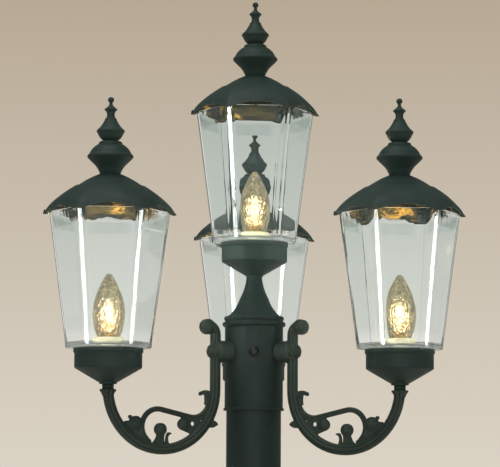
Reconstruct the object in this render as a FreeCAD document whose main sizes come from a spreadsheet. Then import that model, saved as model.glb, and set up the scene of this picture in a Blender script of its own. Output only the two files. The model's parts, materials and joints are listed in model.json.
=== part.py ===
"""Garden lamp post with four hexagonal lanterns: one on the post and three on scroll arms.

Millimetres, +Z up. The origin is the centre of the underside of the foot.
The lanterns on the arms point to the back (+Y) and to the front left and front right.
"""
import FreeCAD, Part
import math
import os
import re

import Sketcher

Vector = FreeCAD.Vector

# ---------------------------------------------------------------- driving dimensions
VALUES = [
    # post and foot
    ("post_dia", 88.9, "outside of the post tube"),
    ("post_wall", 4.0, "wall of the post tube"),
    ("foot_dia", 220.0, "flange of the foot"),
    ("foot_thick", 16.0, "flange thickness"),
    ("foot_boss_dia", 116.0, "boss round the post at the flange"),
    ("foot_neck_dia", 104.0, "boss at its top"),
    ("foot_tall", 96.0, "height of the foot"),
    ("anchor_pcd", 180.0, "circle of the anchor holes"),
    ("anchor_rad", 7.0, "radius of an anchor hole"),
    ("cable_rad", 25.0, "cable entry through the foot"),
    ("grub_rad", 4.0, "radius of a grub screw in the foot"),
    ("grub_level", 64.0, "height of the grub screws"),
    ("slip", 0.2, "radial clearance of one turned piece in another"),
    # sleeve and top cone
    ("sleeve_low", 1578.0, "underside of the sleeve"),
    ("sleeve_tall", 144.0, "length of the sleeve"),
    ("sleeve_dia", 94.7, "outside of the sleeve"),
    ("low_bead_dia", 98.8, "thin bead at the sleeve's lower end"),
    ("low_bead_tall", 4.0, "height of the thin bead"),
    ("top_bead_dia", 103.5, "bead at the sleeve's upper end"),
    ("top_bead_tall", 7.6, "height of the upper bead"),
    ("cone_tall", 73.5, "height of the flared cone over the sleeve"),
    ("cone_bead_dia", 97.0, "bead round the cone's base"),
    ("cone_bead_tall", 7.0, "height of that bead"),
    ("cone_base_dia", 86.5, "flare just over its bead"),
    ("cone_mid_dia", 47.0, "flare at half height"),
    ("cone_top_dia", 25.0, "top of the cone"),
    ("spigot_deep", 16.0, "spigot of the cone in the post"),
    ("spigot_wall", 5.0, "wall of that spigot"),
    # arms
    ("back_turn", 90.0, "direction of the back arm, degrees"),
    ("left_turn", 210.0, "direction of the left arm, degrees"),
    ("right_turn", 330.0, "direction of the right arm, degrees"),
    ("head_reach", 265.0, "lantern axis from the post axis"),
    ("stem_reach", 72.0, "arm stem from the post axis"),
    ("arm_dia", 16.5, "arm across its flats"),
    ("bend_level", 1610.0, "centre of the arm's half circle"),
    ("collar_top", 1606.5, "top of the arm's collar"),
    ("stem_top", 1699.0, "where the stem starts to curl over"),
    ("curl_rad", 15.0, "radius of the curl at the stem's top"),
    ("volute_rad", 12.5, "button at the end of the curl"),
    ("volute_wide", 17.0, "width of that button"),
    ("saddle_dia", 35.5, "boss between the sleeve and the stem"),
    ("saddle_gap", 0.1, "between the boss and the sleeve"),
    ("bolt_level", 1672.0, "height of the arm bolts"),
    ("bolt_rad", 5.0, "radius of an arm bolt"),
    ("bolt_slip", 0.3, "radial clearance of a bolt in its hole"),
    ("bolt_seat", 80.6, "seat of the bolt head from the post axis"),
    ("cap_rad", 10.0, "skirt of the bolt's cap"),
    ("cap_tall", 6.5, "height of the bolt's cap"),
    ("plate_wide", 24.0, "square nut plate inside the post"),
    ("plate_thick", 6.0, "thickness of the nut plate"),
    ("collar_dia", 27.0, "flared collar at the arm's end"),
    ("collar_tall", 11.0, "height of that collar"),
    ("band_wide", 8.6, "width of the S band"),
    ("low_arc_x", 112.0, "S band, centre of the lower arc from the post axis"),
    ("low_arc_z", 1594.0, "S band, height of that centre"),
    ("low_arc_rad", 29.0, "S band, radius of the lower arc"),
    ("high_arc_x", 176.0, "S band, centre of the upper arc from the post axis"),
    ("high_arc_z", 1549.0, "S band, height of that centre"),
    ("high_arc_rad", 28.3, "S band, radius of the upper arc"),
    ("leaf_thick", 9.0, "thickness of the cast leaves"),
    ("web_thick", 5.0, "thickness of the web behind the leaves"),
    ("eye_x", 130.7, "eye of the scroll from the post axis"),
    ("eye_z", 1553.7, "height of that eye"),
    ("eye_rad", 8.9, "radius of the eye"),
    ("knob_x", 171.3, "knob in the window of the arm"),
    ("knob_z", 1545.0, "height of the knob"),
    ("knob_rad", 10.3, "radius of the knob"),
    ("bud_x", 215.7, "leaf bud outside the S band"),
    ("bud_z", 1555.0, "height of the bud"),
    ("bud_rad", 10.7, "radius of the bud"),
    ("button_wide", 12.0, "width of the eye, knob and bud"),
    # clamp screws of the sleeve
    ("clamp_rad", 4.0, "radius of a clamp screw"),
    ("clamp_head_rad", 7.0, "dome of the clamp screw"),
    ("clamp_skirt_rad", 10.0, "washer face of the clamp screw"),
    ("clamp_tall", 6.0, "height of its head"),
    # nipples
    ("nipple_rad", 7.0, "thread of a nipple"),
    ("nipple_bore", 4.0, "bore of a nipple"),
    ("nipple_deep", 12.0, "thread below the cup"),
    ("nipple_up", 26.0, "thread above the cup's underside"),
    ("shoulder_dia", 18.5, "plain part under the outer cups"),
    ("shoulder_tall", 8.0, "length of the plain part"),
    ("thread_slip", 0.15, "radial clearance of the nipple"),
    ("jam_flat", 22.0, "across the flats of the jam nut"),
    ("jam_thick", 6.0, "thickness of the jam nut"),
    # cup, gasket and glass
    ("head_twist", 4.0, "how far the lanterns are turned on their nipples"),
    ("cup_dia", 107.0, "cup"),
    ("cup_lip_dia", 110.5, "lip of the cup"),
    ("cup_lip_tall", 5.0, "height of the lip"),
    ("cup_tall", 54.5, "height of the cup"),
    ("cup_cone_tall", 25.5, "height of the conical lower part"),
    ("cup_wall", 3.0, "wall of the cup"),
    ("cup_floor", 4.0, "floor of the cup"),
    ("cup_foot_dia", 28.0, "small foot under the cup"),
    ("cup_foot_tall", 2.5, "height of that foot"),
    ("gasket_thick", 1.5, "gasket between cup and glass"),
    ("glass_low", 69.75, "glass, half over the corners at the floor"),
    ("glass_high", 98.2, "glass, half over the corners at the rim"),
    ("glass_tall", 216.0, "height of the glass"),
    ("glass_wall", 3.0, "wall of the glass"),
    ("glass_floor", 4.0, "floor of the glass"),
    ("facet", 8.0, "flat on each corner of the glass"),
    # lamp holder, ring and bulb
    ("holder_rad", 20.0, "lamp holder"),
    ("holder_low", 18.0, "underside of the lamp holder over the cup's underside"),
    ("holder_tall", 50.0, "height of the lamp holder"),
    ("holder_deep", 33.0, "depth of its socket"),
    ("ring_rad", 25.0, "ring that clamps the glass"),
    ("ring_tall", 9.0, "height of that ring"),
    ("cap_shell_rad", 13.3, "screw cap of the bulb"),
    ("socket_slip", 0.35, "screw cap to socket"),
    ("cap_shell_tall", 38.0, "height of the screw cap"),
    ("pip_tall", 3.0, "contact under the screw cap"),
    ("flame_rad", 26.5, "bulb at its widest"),
    ("flame_foot_rad", 17.0, "foot of the bulb's glass"),
    ("flame_tall", 104.0, "height of the bulb's glass"),
    ("flame_wall", 2.4, "wall of the bulb's glass"),
    ("core_rad", 7.0, "glowing core"),
    ("core_tall", 60.0, "height of the core"),
    # roof and finial
    ("roof_rad", 106.0, "roof, half over the corners at the rim"),
    ("roof_drop", 4.0, "how far the rim hangs below the top of the glass"),
    ("roof_rise", 43.0, "height of the six-sided part"),
    ("dome_rad", 60.0, "foot of the round dome"),
    ("dome_rise", 22.0, "height of the dome"),
    ("roof_wall", 3.0, "wall of the roof"),
    ("seat_gap", 0.2, "between the roof's seat and the glass"),
    ("glass_slip", 0.5, "clearance round the glass in the roof"),
    ("lug_in", 84.0, "inner face of the lugs that rest on the glass"),
    ("lug_out", 97.0, "outer face of the lugs at the glass"),
    ("lug_wide", 8.0, "width of a lug"),
    ("scallop_half", 44.0, "half width of a scallop in the rim"),
    ("scallop_rise", 9.5, "height of a scallop"),
    ("finial_neck", 16.5, "foot of the finial"),
    ("finial_tall", 123.3, "height of the finial"),
    ("stud_rad", 5.0, "stud under the finial"),
    ("stud_slip", 0.15, "radial clearance of the stud"),
    ("stud_deep", 18.0, "length of the stud"),
    ("screw_rad", 2.0, "roof screw"),
    ("screw_up", 3.6, "height of the roof screws over the rim"),
    ("screw_seat", 102.4, "seat of the head from the lantern's axis"),
    ("screw_head_rad", 3.6, "head of a roof screw"),
    ("screw_head_tall", 2.6, "height of that head"),
    ("screw_gap", 0.35, "between the screw's point and the glass"),
    # terminal block inside the post
    ("strip_wide", 20.0, "bracket of the terminal block"),
    ("strip_thick", 2.0, "thickness of the bracket"),
    ("strip_long", 100.0, "length of the bracket"),
    ("block_tall", 56.0, "terminal block"),
    ("block_deep", 15.0, "depth of the terminal block"),
]

# sizes that several pieces share, written in terms of the cells
POST_TOP = "(sleeve_low+sleeve_tall-2)"
SLEEVE_TOP = "(sleeve_low+sleeve_tall)"
CONE_TOP = f"({SLEEVE_TOP}+cone_tall)"
SIDE_LOW = "(collar_top+shoulder_tall)"
POST_BORE = "(post_dia/2-post_wall)"
GLASS_LOW = "(cup_tall+gasket_thick)"
GLASS_TOP = f"({GLASS_LOW}+glass_tall)"
RIM = f"({GLASS_TOP}-roof_drop)"
DOME_FOOT = f"({RIM}+roof_rise)"
DOME_TOP = f"({DOME_FOOT}+dome_rise)"
RING_LOW = f"({GLASS_LOW}+glass_floor)"
HOLDER_TOP = "(holder_low+holder_tall)"
SOCKET_LOW = f"({HOLDER_TOP}-holder_deep)"
FLAME_LOW = f"({SOCKET_LOW}+0.3+cap_shell_tall-3)"
HOLDER_HOLE = "(holder_rad+slip)"

HEADS = {"top": "back_turn", "left": "left_turn", "right": "right_turn", "back": "back_turn"}

# ---------------------------------------------------------------- the sheet
doc = FreeCAD.newDocument("LampPost")
sheet = doc.addObject("Spreadsheet::Sheet", "sizes")
for row, (alias, value, note) in enumerate(VALUES, 1):
    sheet.set(f"A{row}", note)
    sheet.set(f"B{row}", str(value))
    sheet.setAlias(f"B{row}", alias)
doc.recompute()
NAMES = {alias for alias, value, note in VALUES}


def bind(text):
    """The expression with every named size written as a cell of the sheet."""
    return re.sub(r"[a-z_]+", lambda m: "sizes." + m.group(0) if m.group(0) in NAMES else m.group(0), text)


def num(text):
    """The present value of an expression."""
    return float(sheet.evalExpression(bind(text)))


def polar(cx, cy, rad, angle):
    """The expressions of a point on a circle."""
    return f"({cx})+({rad})*cos({angle:.6f})", f"({cy})+({rad})*sin({angle:.6f})"


class Piece:
    """One separate piece: a body with its own label and place."""

    def __init__(self, label):
        self.body = doc.addObject("PartDesign::Body", label)
        self.body.Label = label
        self.count = 0

    def add(self, kind, word):
        """Adds a feature with a readable name."""
        self.count += 1
        return self.body.newObject(kind, f"{self.body.Name}_{word}_{self.count}")

    def sketch(self, role, shift=(None, None, None)):
        """An empty sketch on one of the body's origin planes, shifted in the plane or along its normal."""
        made = self.add("Sketcher::SketchObject", "sketch")
        plane = next(f for f in self.body.Origin.OriginFeatures if f.Role == role)
        made.AttachmentSupport = [(plane, "")]
        made.MapMode = "FlatFace"
        for axis, text in zip("xyz", shift):
            if text is not None:
                made.setExpression(f"AttachmentOffset.Base.{axis}", bind(text))
        return made

    def trace(self, sketch, rows, closed=True):
        """Draws lines and arcs through (x, y, sweep) rows; the sweep is in degrees, anticlockwise positive."""
        points = [Vector(num(x), num(y), 0) for x, y, sweep in rows]
        total = len(points)
        spans = total if closed else total - 1
        shapes = []
        ends = []
        for i in range(spans):
            a = points[i]
            b = points[(i + 1) % total]
            sweep = rows[i][2]
            if not sweep:
                shapes.append(Part.LineSegment(a, b))
                ends.append((1, 2))
                continue
            chord = b - a
            half = math.radians(abs(sweep)) / 2
            radius = chord.Length / (2 * math.sin(half))
            left = Vector(-chord.y, chord.x, 0).normalize()
            side = 1 if sweep > 0 else -1
            centre = (a + b) * 0.5 + left * (side * radius * math.cos(half))
            first, last = (a, b) if sweep > 0 else (b, a)
            start = math.atan2(first.y - centre.y, first.x - centre.x)
            stop = math.atan2(last.y - centre.y, last.x - centre.x)
            while stop < start:
                stop += 2 * math.pi
            circle = Part.Circle(centre, Vector(0, 0, 1), radius)
            shapes.append(Part.ArcOfCircle(circle, start, stop))
            ends.append((1, 2) if sweep > 0 else (2, 1))
        ids = sketch.addGeometry(shapes, False)
        rules = []
        bound = []
        for i in range(spans):
            if closed or i < spans - 1:
                j = (i + 1) % spans
                rules.append(Sketcher.Constraint("Coincident", ids[i], ends[i][1], ids[j], ends[j][0]))
        for i in range(total):
            j, k = (i, 0) if i < spans else (i - 1, 1)
            for word, axis, text in (("DistanceX", -2, rows[i][0]), ("DistanceY", -1, rows[i][1])):
                if abs(num(text)) < 1e-9:
                    rules.append(Sketcher.Constraint("PointOnObject", ids[j], ends[j][k], axis))
                else:
                    bound.append((len(rules), text))
                    rules.append(Sketcher.Constraint(word, -1, 1, ids[j], ends[j][k], num(text)))
        for i in range(spans):
            x, y, sweep = rows[i]
            if sweep:
                far_x, far_y, unused = rows[(i + 1) % total]
                factor = 1 / (2 * math.sin(math.radians(abs(sweep)) / 2))
                text = f"sqrt((({far_x})-({x}))^2+(({far_y})-({y}))^2)*{factor:.9f}"
                bound.append((len(rules), text))
                rules.append(Sketcher.Constraint("Radius", ids[i], num(text)))
        sketch.addConstraint(rules)
        for index, text in bound:
            sketch.setExpression(f"Constraints[{index}]", bind(text))
        return sketch

    def ring(self, sketch, x, y, rad):
        """Adds a full circle to a sketch."""
        centre = Vector(num(x), num(y), 0)
        made = sketch.addGeometry(Part.Circle(centre, Vector(0, 0, 1), num(rad)), False)
        for word, axis, text in (("DistanceX", -2, x), ("DistanceY", -1, y)):
            if abs(num(text)) < 1e-9:
                sketch.addConstraint(Sketcher.Constraint("PointOnObject", made, 3, axis))
            else:
                index = sketch.addConstraint(Sketcher.Constraint(word, -1, 1, made, 3, num(text)))
                sketch.setExpression(f"Constraints[{index}]", bind(text))
        index = sketch.addConstraint(Sketcher.Constraint("Radius", made, num(rad)))
        sketch.setExpression(f"Constraints[{index}]", bind(rad))
        return sketch

    def turn(self, rows, shift=(None, None, None), role="XZ_Plane", axis="V_Axis", cut=False):
        """Revolves an outline about the sketch's own axis."""
        sketch = self.trace(self.sketch(role, shift), rows)
        made = self.add("PartDesign::Groove" if cut else "PartDesign::Revolution", "turn")
        made.Profile = sketch
        made.ReferenceAxis = (sketch, [axis])
        made.Angle = 360
        self.body.Tip = made
        return made

    def pad(self, rows, length, shift=(None, None, None), role="XZ_Plane", both=True, circles=()):
        """Pads an outline, to both sides of its plane or along the plane's normal."""
        sketch = self.sketch(role, shift)
        if rows:
            self.trace(sketch, rows)
        for x, y, rad in circles:
            self.ring(sketch, x, y, rad)
        made = self.add("PartDesign::Pad", "pad")
        made.Profile = sketch
        made.SideType = "Symmetric" if both else "One side"
        made.setExpression("Length", bind(length))
        self.body.Tip = made
        return made

    def cut(self, rows, length, shift=(None, None, None), role="XZ_Plane", both=True, circles=(), back=False):
        """Cuts an outline, to both sides of its plane or to one side."""
        sketch = self.sketch(role, shift)
        if rows:
            self.trace(sketch, rows)
        for x, y, rad in circles:
            self.ring(sketch, x, y, rad)
        made = self.add("PartDesign::Pocket", "cut")
        made.Profile = sketch
        made.SideType = "Symmetric" if both else "One side"
        made.Reversed = back
        made.setExpression("Length", bind(length))
        self.body.Tip = made
        return made

    def pipe(self, path, section, shift):
        """Sweeps a section, drawn across the start of the path, along the path."""
        spine = self.trace(self.sketch("XZ_Plane"), path, closed=False)
        profile = self.trace(self.sketch("XY_Plane", shift), section)
        made = self.add("PartDesign::AdditivePipe", "pipe")
        made.Profile = profile
        made.Spine = (spine, [f"Edge{i + 1}" for i in range(len(path) - 1)])
        self.body.Tip = made
        return made

    def loft(self, sections, ruled=True, cut=False):
        """Lofts (height, rows) sections."""
        drawn = [self.trace(self.sketch("XY_Plane", (None, None, level)), rows) for level, rows in sections]
        made = self.add("PartDesign::SubtractiveLoft" if cut else "PartDesign::AdditiveLoft", "loft")
        made.Profile = drawn[0]
        made.Sections = drawn[1:]
        made.Ruled = ruled
        self.body.Tip = made
        return made

    def repeat(self, features, count):
        """Repeats features evenly about the body's Z axis."""
        doc.recompute()
        made = self.add("PartDesign::PolarPattern", "pattern")
        made.Originals = features
        axis = next(f for f in self.body.Origin.OriginFeatures if f.Role == "Z_Axis")
        made.Axis = (axis, [""])
        made.Angle = 360
        made.Occurrences = count
        self.body.Tip = made
        return made

    def place(self, x, y, z, turn):
        """Sets the piece in its place, turned about the vertical."""
        spin = FreeCAD.Rotation(Vector(0, 0, 1), num(turn))
        self.body.Placement = FreeCAD.Placement(Vector(num(x), num(y), num(z)), spin)
        for axis, text in (("x", x), ("y", y), ("z", z)):
            self.body.setExpression(f"Placement.Base.{axis}", bind(text))
        return self

    def at_head(self, head):
        """Sets a piece of a lantern in its place."""
        turn = HEADS[head]
        spin = f"{turn}+head_twist-30"
        if head == "top":
            return self.place("0", "0", CONE_TOP, spin)
        return self.place(f"head_reach*cos({turn})", f"head_reach*sin({turn})", SIDE_LOW, spin)


def polygon(sides, across, sweep=0.0, start=0.0):
    """The rows of a regular outline: across is the distance from the centre to a corner."""
    step = 360 / sides
    return [polar("0", "0", across, start + step * i) + (sweep,) for i in range(sides)]


def bevelled(flat_across, facet, start=0.0):
    """A hexagon with a narrow flat on each corner: flat_across is the centre to that flat."""
    rows = []
    for i in range(6):
        angle = start + 60 * i
        for side in (-1, 1):
            x = f"({flat_across})*cos({angle:.6f})-({side})*({facet})/2*sin({angle:.6f})"
            y = f"({flat_across})*sin({angle:.6f})+({side})*({facet})/2*cos({angle:.6f})"
            rows.append((x, y, 0))
    return rows


# ---------------------------------------------------------------- post, foot and sleeve
piece = Piece("post_foot")
piece.turn([
    ("cable_rad", "0", 0), ("foot_dia/2", "0", 0), ("foot_dia/2", "foot_thick-3", 90),
    ("foot_dia/2-3", "foot_thick", 0), ("foot_boss_dia/2+10", "foot_thick", -84),
    ("foot_boss_dia/2", "foot_thick+9", 0), ("foot_neck_dia/2", "foot_tall-5", 60),
    ("foot_neck_dia/2-3", "foot_tall", 0), ("post_dia/2+slip", "foot_tall", 0),
    ("post_dia/2+slip", "foot_thick", 0), ("cable_rad", "foot_thick", 0),
])
holes = piece.cut([], "foot_thick+2", ("anchor_pcd/2", None, "-1"), "XY_Plane", False,
                  [("0", "0", "anchor_rad")], True)
piece.repeat([holes], 4)
grub = piece.cut([], "foot_dia/2", (None, None, None), "YZ_Plane", False,
                 [("0", "grub_level", "grub_rad+slip")], True)
piece.repeat([grub], 3)

piece = Piece("foot_screws")
screw = piece.turn([
    ("post_dia/2+0.05", "0", 0), ("foot_boss_dia/2", "0", 0), ("foot_boss_dia/2", "grub_rad", 0),
    ("post_dia/2+2", "grub_rad", 0), ("post_dia/2+0.05", "grub_rad-1.2", 0),
], (None, "grub_level", None), axis="H_Axis")
piece.repeat([screw], 3)

piece = Piece("post_tube")
piece.turn([
    (POST_BORE, "foot_thick", 0), ("post_dia/2", "foot_thick", 0), ("post_dia/2", POST_TOP, 0),
    (POST_BORE, POST_TOP, 0),
])
bolts = piece.cut([], "post_dia", (None, None, None), "YZ_Plane", False,
                  [("0", "bolt_level", "bolt_rad+bolt_slip")], True)
piece.repeat([bolts], 3)
clamps = piece.cut([], "post_dia", (None, None, None), "YZ_Plane", False,
                   [("0", "bolt_level", "clamp_rad+slip")], False)
piece.repeat([clamps], 3)
piece.place("0", "0", "0", "back_turn")

piece = Piece("sleeve")
piece.turn([
    ("post_dia/2+slip", "sleeve_low", 0), ("low_bead_dia/2-0.6", "sleeve_low", 0),
    ("low_bead_dia/2-0.6", "sleeve_low+low_bead_tall", 0),
    ("sleeve_dia/2", "sleeve_low+low_bead_tall", 0),
    ("sleeve_dia/2", f"{SLEEVE_TOP}-top_bead_tall", 0),
    ("top_bead_dia/2-2.4", f"{SLEEVE_TOP}-top_bead_tall", 118), ("top_bead_dia/2-2.4", SLEEVE_TOP, 0),
    ("post_dia/2+slip", SLEEVE_TOP, 0),
])
bolts = piece.cut([], "sleeve_dia", (None, None, None), "YZ_Plane", False,
                  [("0", "bolt_level", "bolt_rad+bolt_slip")], True)
piece.repeat([bolts], 3)
clamps = piece.cut([], "sleeve_dia", (None, None, None), "YZ_Plane", False,
                   [("0", "bolt_level", "clamp_rad+slip")], False)
piece.repeat([clamps], 3)
piece.place("0", "0", "0", "back_turn")

piece = Piece("sleeve_screws")
screw = piece.turn([
    (f"-{POST_BORE}+1", "0", 0), ("-sleeve_dia/2-clamp_tall", "0", 0), ("-sleeve_dia/2-clamp_tall", "1.5", -50),
    ("-sleeve_dia/2-2.2", "clamp_head_rad", 0), ("-sleeve_dia/2-1.8", "clamp_skirt_rad", 0),
    ("-sleeve_dia/2-saddle_gap", "clamp_skirt_rad", 0), ("-sleeve_dia/2-saddle_gap", "clamp_rad", 0),
    (f"-{POST_BORE}+1", "clamp_rad", 0),
], (None, "bolt_level", None), axis="H_Axis")
piece.repeat([screw], 3)
piece.place("0", "0", "0", "back_turn")

piece = Piece("top_cone")
base = SLEEVE_TOP
piece.turn([
    ("cone_bead_dia/2-1.5", base, 0), ("cone_bead_dia/2-1.5", f"{base}+2", 110),
    ("cone_bead_dia/2-1.5", f"{base}+2+cone_bead_tall", 0),
    ("cone_base_dia/2", f"{base}+2+cone_bead_tall", -34),
    ("cone_mid_dia/2", f"{base}+cone_tall*0.52", -24), ("cone_top_dia/2", f"{base}+cone_tall", 0),
    ("nipple_rad+thread_slip", f"{base}+cone_tall", 0),
    ("nipple_rad+thread_slip", f"{base}+cone_tall*0.6", 0),
    (f"{POST_BORE}-slip-spigot_wall", f"{base}+4", 0),
    (f"{POST_BORE}-slip-spigot_wall", f"{base}-spigot_deep", 0),
    (f"{POST_BORE}-slip", f"{base}-spigot_deep", 0), (f"{POST_BORE}-slip", base, 0),
])
piece.place("0", "0", "0", "back_turn")

# ---------------------------------------------------------------- terminal block inside the post
inner = f"({POST_BORE}-slip-spigot_wall)"
strip_x = f"sqrt({inner}^2-(strip_wide/2)^2)-0.05"
strip_z = f"({SLEEVE_TOP}-spigot_deep+10-strip_long)"
piece = Piece("terminal_bracket")
piece.pad([
    (f"-({strip_x})", strip_z, 0), (f"-({strip_x})+strip_thick", strip_z, 0),
    (f"-({strip_x})+strip_thick", f"{strip_z}+strip_long", 0), (f"-({strip_x})", f"{strip_z}+strip_long", 0),
], "strip_wide")
piece.place("0", "0", "0", "back_turn")

piece = Piece("terminal_block")
block_x = f"(-({strip_x})+strip_thick)"
piece.pad([
    (block_x, strip_z, 0), (f"{block_x}+block_deep", strip_z, 0),
    (f"{block_x}+block_deep", f"{strip_z}+block_tall", 0), (block_x, f"{strip_z}+block_tall", 0),
], "strip_wide")
ways = [("0", f"{strip_z}+block_tall*{share}", "2.4") for share in ("0.2", "0.5", "0.8")]
piece.cut([], "block_deep*0.6", (None, None, f"{block_x}+block_deep"), "YZ_Plane", False, ways)
piece.place("0", "0", "0", "back_turn")

# ---------------------------------------------------------------- the scroll arms
flat = "arm_dia/2/cos(22.5)"
thin = "band_wide/2/cos(22.5)"
rise = math.degrees(math.atan2(num("high_arc_z-low_arc_z"), num("high_arc_x-low_arc_x")))
swing = math.degrees(math.asin(num(
    "(low_arc_rad+high_arc_rad)/sqrt((high_arc_x-low_arc_x)^2+(high_arc_z-low_arc_z)^2)")))
lean = rise + swing

for head, turn in list(HEADS.items())[1:]:
    piece = Piece(f"arm_{head}")
    # the bar: collar, half circle, stem and the curl over its top
    piece.pipe([
        ("head_reach", "bend_level", -90),
        ("(head_reach+stem_reach)/2", "bend_level-(head_reach-stem_reach)/2", -90),
        ("stem_reach", "bend_level", 0),
        ("stem_reach", "stem_top", -90), ("stem_reach+curl_rad", "stem_top+curl_rad", 0),
    ], polygon(8, flat, 0, 22.5), ("head_reach", None, "bend_level"))
    # the S band from the leaf on the stem to the bud
    piece.pipe([
        polar("low_arc_x", "low_arc_z", "low_arc_rad", 180) + (90 + lean,),
        polar("low_arc_x", "low_arc_z", "low_arc_rad", 270 + lean) + (0,),
        polar("high_arc_x", "high_arc_z", "high_arc_rad", 90 + lean) + (-(90 + lean + 62),),
        polar("high_arc_x", "high_arc_z", "high_arc_rad", -62) + (0,),
    ], polygon(8, thin, 0, 22.5), ("low_arc_x-low_arc_rad", None, "low_arc_z"))
    # the web with its leaf, the root of the bud and the foot of the knob
    piece.pad([
        ("low_arc_x-low_arc_rad", "low_arc_z-10", 58),
        ("low_arc_x-4", "low_arc_z-low_arc_rad+2", 0), ("eye_x-3", "eye_z+12", 0),
        ("eye_x+4", "eye_z+9", 0), ("eye_x+4", "eye_z-8.5", 0), ("eye_x-11", "eye_z-14.2", 0),
        ("eye_x-29", "eye_z-20", 0), ("stem_reach+14", "eye_z-2", 0), ("stem_reach+4", "eye_z+20", 0),
    ], "web_thick", circles=[("eye_x-17.4", "eye_z+1.2", "3.5"), ("eye_x-33.9", "eye_z+5.9", "2.1")])
    piece.pad([
        ("bud_x-14", "bud_z+8", 0), ("bud_x", "bud_z+5", 0), ("bud_x+21", "bud_z+2", 0),
        ("bud_x+8", "bud_z-17", 0), ("bud_x-18", "bud_z-32", 0), ("bud_x-24", "bud_z-24", 0),
        ("bud_x-11", "bud_z-8", 0),
    ], "web_thick")
    piece.pad([
        ("knob_x-6.5", "knob_z-8", -40), ("knob_x-9.1", "knob_z-26", 0), ("knob_x+15", "knob_z-22", -44),
        ("knob_x+6", "knob_z-8.5", 0),
    ], "leaf_thick*0.8")
    # curling leaves
    piece.pad([
        ("stem_reach+6", "low_arc_z-8", 0), ("stem_reach+19", "low_arc_z-8", -14),
        ("stem_reach+18.2", "low_arc_z+4.6", -95), ("stem_reach+22.4", "low_arc_z+8.6", 0),
        ("stem_reach+27", "low_arc_z+5.8", 150), ("stem_reach+25.4", "low_arc_z+13", 62),
        ("stem_reach+10", "low_arc_z+13", 0), ("stem_reach+6", "low_arc_z+5", 0),
    ], "leaf_thick")
    piece.pad([
        ("stem_reach+4", "eye_z+7", 60), ("stem_reach-4.2", "eye_z+0.6", 0),
        ("stem_reach-1.2", "eye_z-1.8", 0), ("stem_reach+5", "eye_z-4.8", 0), ("stem_reach+16", "eye_z-4", 0),
        ("stem_reach+16", "eye_z+4", 0),
    ], "leaf_thick")
    piece.pad([
        ("knob_x-9", "knob_z-18", 0), ("knob_x-10", "knob_z-10.5", 30), ("knob_x-13.2", "knob_z-4.6", 70),
        ("knob_x-20.3", "knob_z-6.8", 0), ("knob_x-16.2", "knob_z-8.6", -50), ("knob_x-13.6", "knob_z-13", -30),
        ("knob_x-17", "knob_z-26", 0), ("knob_x-9", "knob_z-26", 0),
    ], "leaf_thick*0.6")
    piece.pad([], "leaf_thick*0.7", circles=[("bud_x+9.8", "bud_z+9", "3")])
    # round buttons
    for x, z, rad in (("eye_x", "eye_z", "eye_rad"), ("knob_x", "knob_z", "knob_rad"),
                      ("bud_x", "bud_z", "bud_rad")):
        piece.turn([
            ("0", "-button_wide/2", 0), (f"{rad}-2.5", "-button_wide/2", 0), (rad, "-button_wide/2+2.5", 0),
            (rad, "button_wide/2-2.5", 0), (f"{rad}-2.5", "button_wide/2", 0), ("0", "button_wide/2", 0),
        ], (x, None, z), "XY_Plane")
    piece.turn([
        ("0", "-volute_wide/2", 0), ("volute_rad-3", "-volute_wide/2", 0), ("volute_rad", "-volute_wide/2+3", 0),
        ("volute_rad", "volute_wide/2-3", 0), ("volute_rad-3", "volute_wide/2", 0), ("0", "volute_wide/2", 0),
    ], ("stem_reach+curl_rad", None, "stem_top+volute_rad"), "XY_Plane")
    # saddle boss, bolt seat and collar
    piece.turn([
        ("sleeve_dia/2-12", "0", 0), ("bolt_seat", "0", 0), ("bolt_seat", "cap_rad+1", 0),
        ("stem_reach", "cap_rad+1", 0), ("stem_reach", "saddle_dia/2-3", 0), ("stem_reach-4", "saddle_dia/2", 0),
        ("sleeve_dia/2-12", "saddle_dia/2", 0),
    ], (None, "bolt_level", None), axis="H_Axis")
    piece.turn([
        ("0", "collar_top-collar_tall", 0), ("arm_dia/2+0.6", "collar_top-collar_tall", -38),
        ("collar_dia/2", "collar_top-2.5", 0), ("collar_dia/2", "collar_top", 0), ("0", "collar_top", 0),
    ], ("head_reach", None, None))
    piece.turn([
        ("0", "collar_top-nipple_deep-1", 0), ("nipple_rad+thread_slip", "collar_top-nipple_deep-1", 0),
        ("nipple_rad+thread_slip", "collar_top", 0), ("collar_dia", "collar_top", 0),
        ("collar_dia", "collar_top+20", 0), ("0", "collar_top+20", 0),
    ], ("head_reach", None, None), cut=True)
    piece.turn([
        ("0", "bolt_level-saddle_dia", 0), ("sleeve_dia/2+saddle_gap", "bolt_level-saddle_dia", 0),
        ("sleeve_dia/2+saddle_gap", "bolt_level+saddle_dia", 0), ("0", "bolt_level+saddle_dia", 0),
    ], cut=True)
    piece.cut([], "bolt_seat+20", (None, None, None), "YZ_Plane", False,
              [("0", "bolt_level", "bolt_rad+bolt_slip")], True)
    piece.place("0", "0", "0", turn)

piece = Piece("arm_bolts")
bolt = piece.turn([
    (f"{POST_BORE}-plate_thick-4", "0", 0), (f"{POST_BORE}-plate_thick-4", "bolt_rad", 0),
    ("bolt_seat", "bolt_rad", 0), ("bolt_seat", "cap_rad", 0), ("bolt_seat+2", "cap_rad", 0),
    ("bolt_seat+2", "cap_rad-2", -50), ("bolt_seat+cap_tall", "1.5", 0), ("bolt_seat+cap_tall", "0", 0),
], (None, "bolt_level", None), axis="H_Axis")
piece.repeat([bolt], 3)
piece.place("0", "0", "0", "back_turn")

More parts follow.
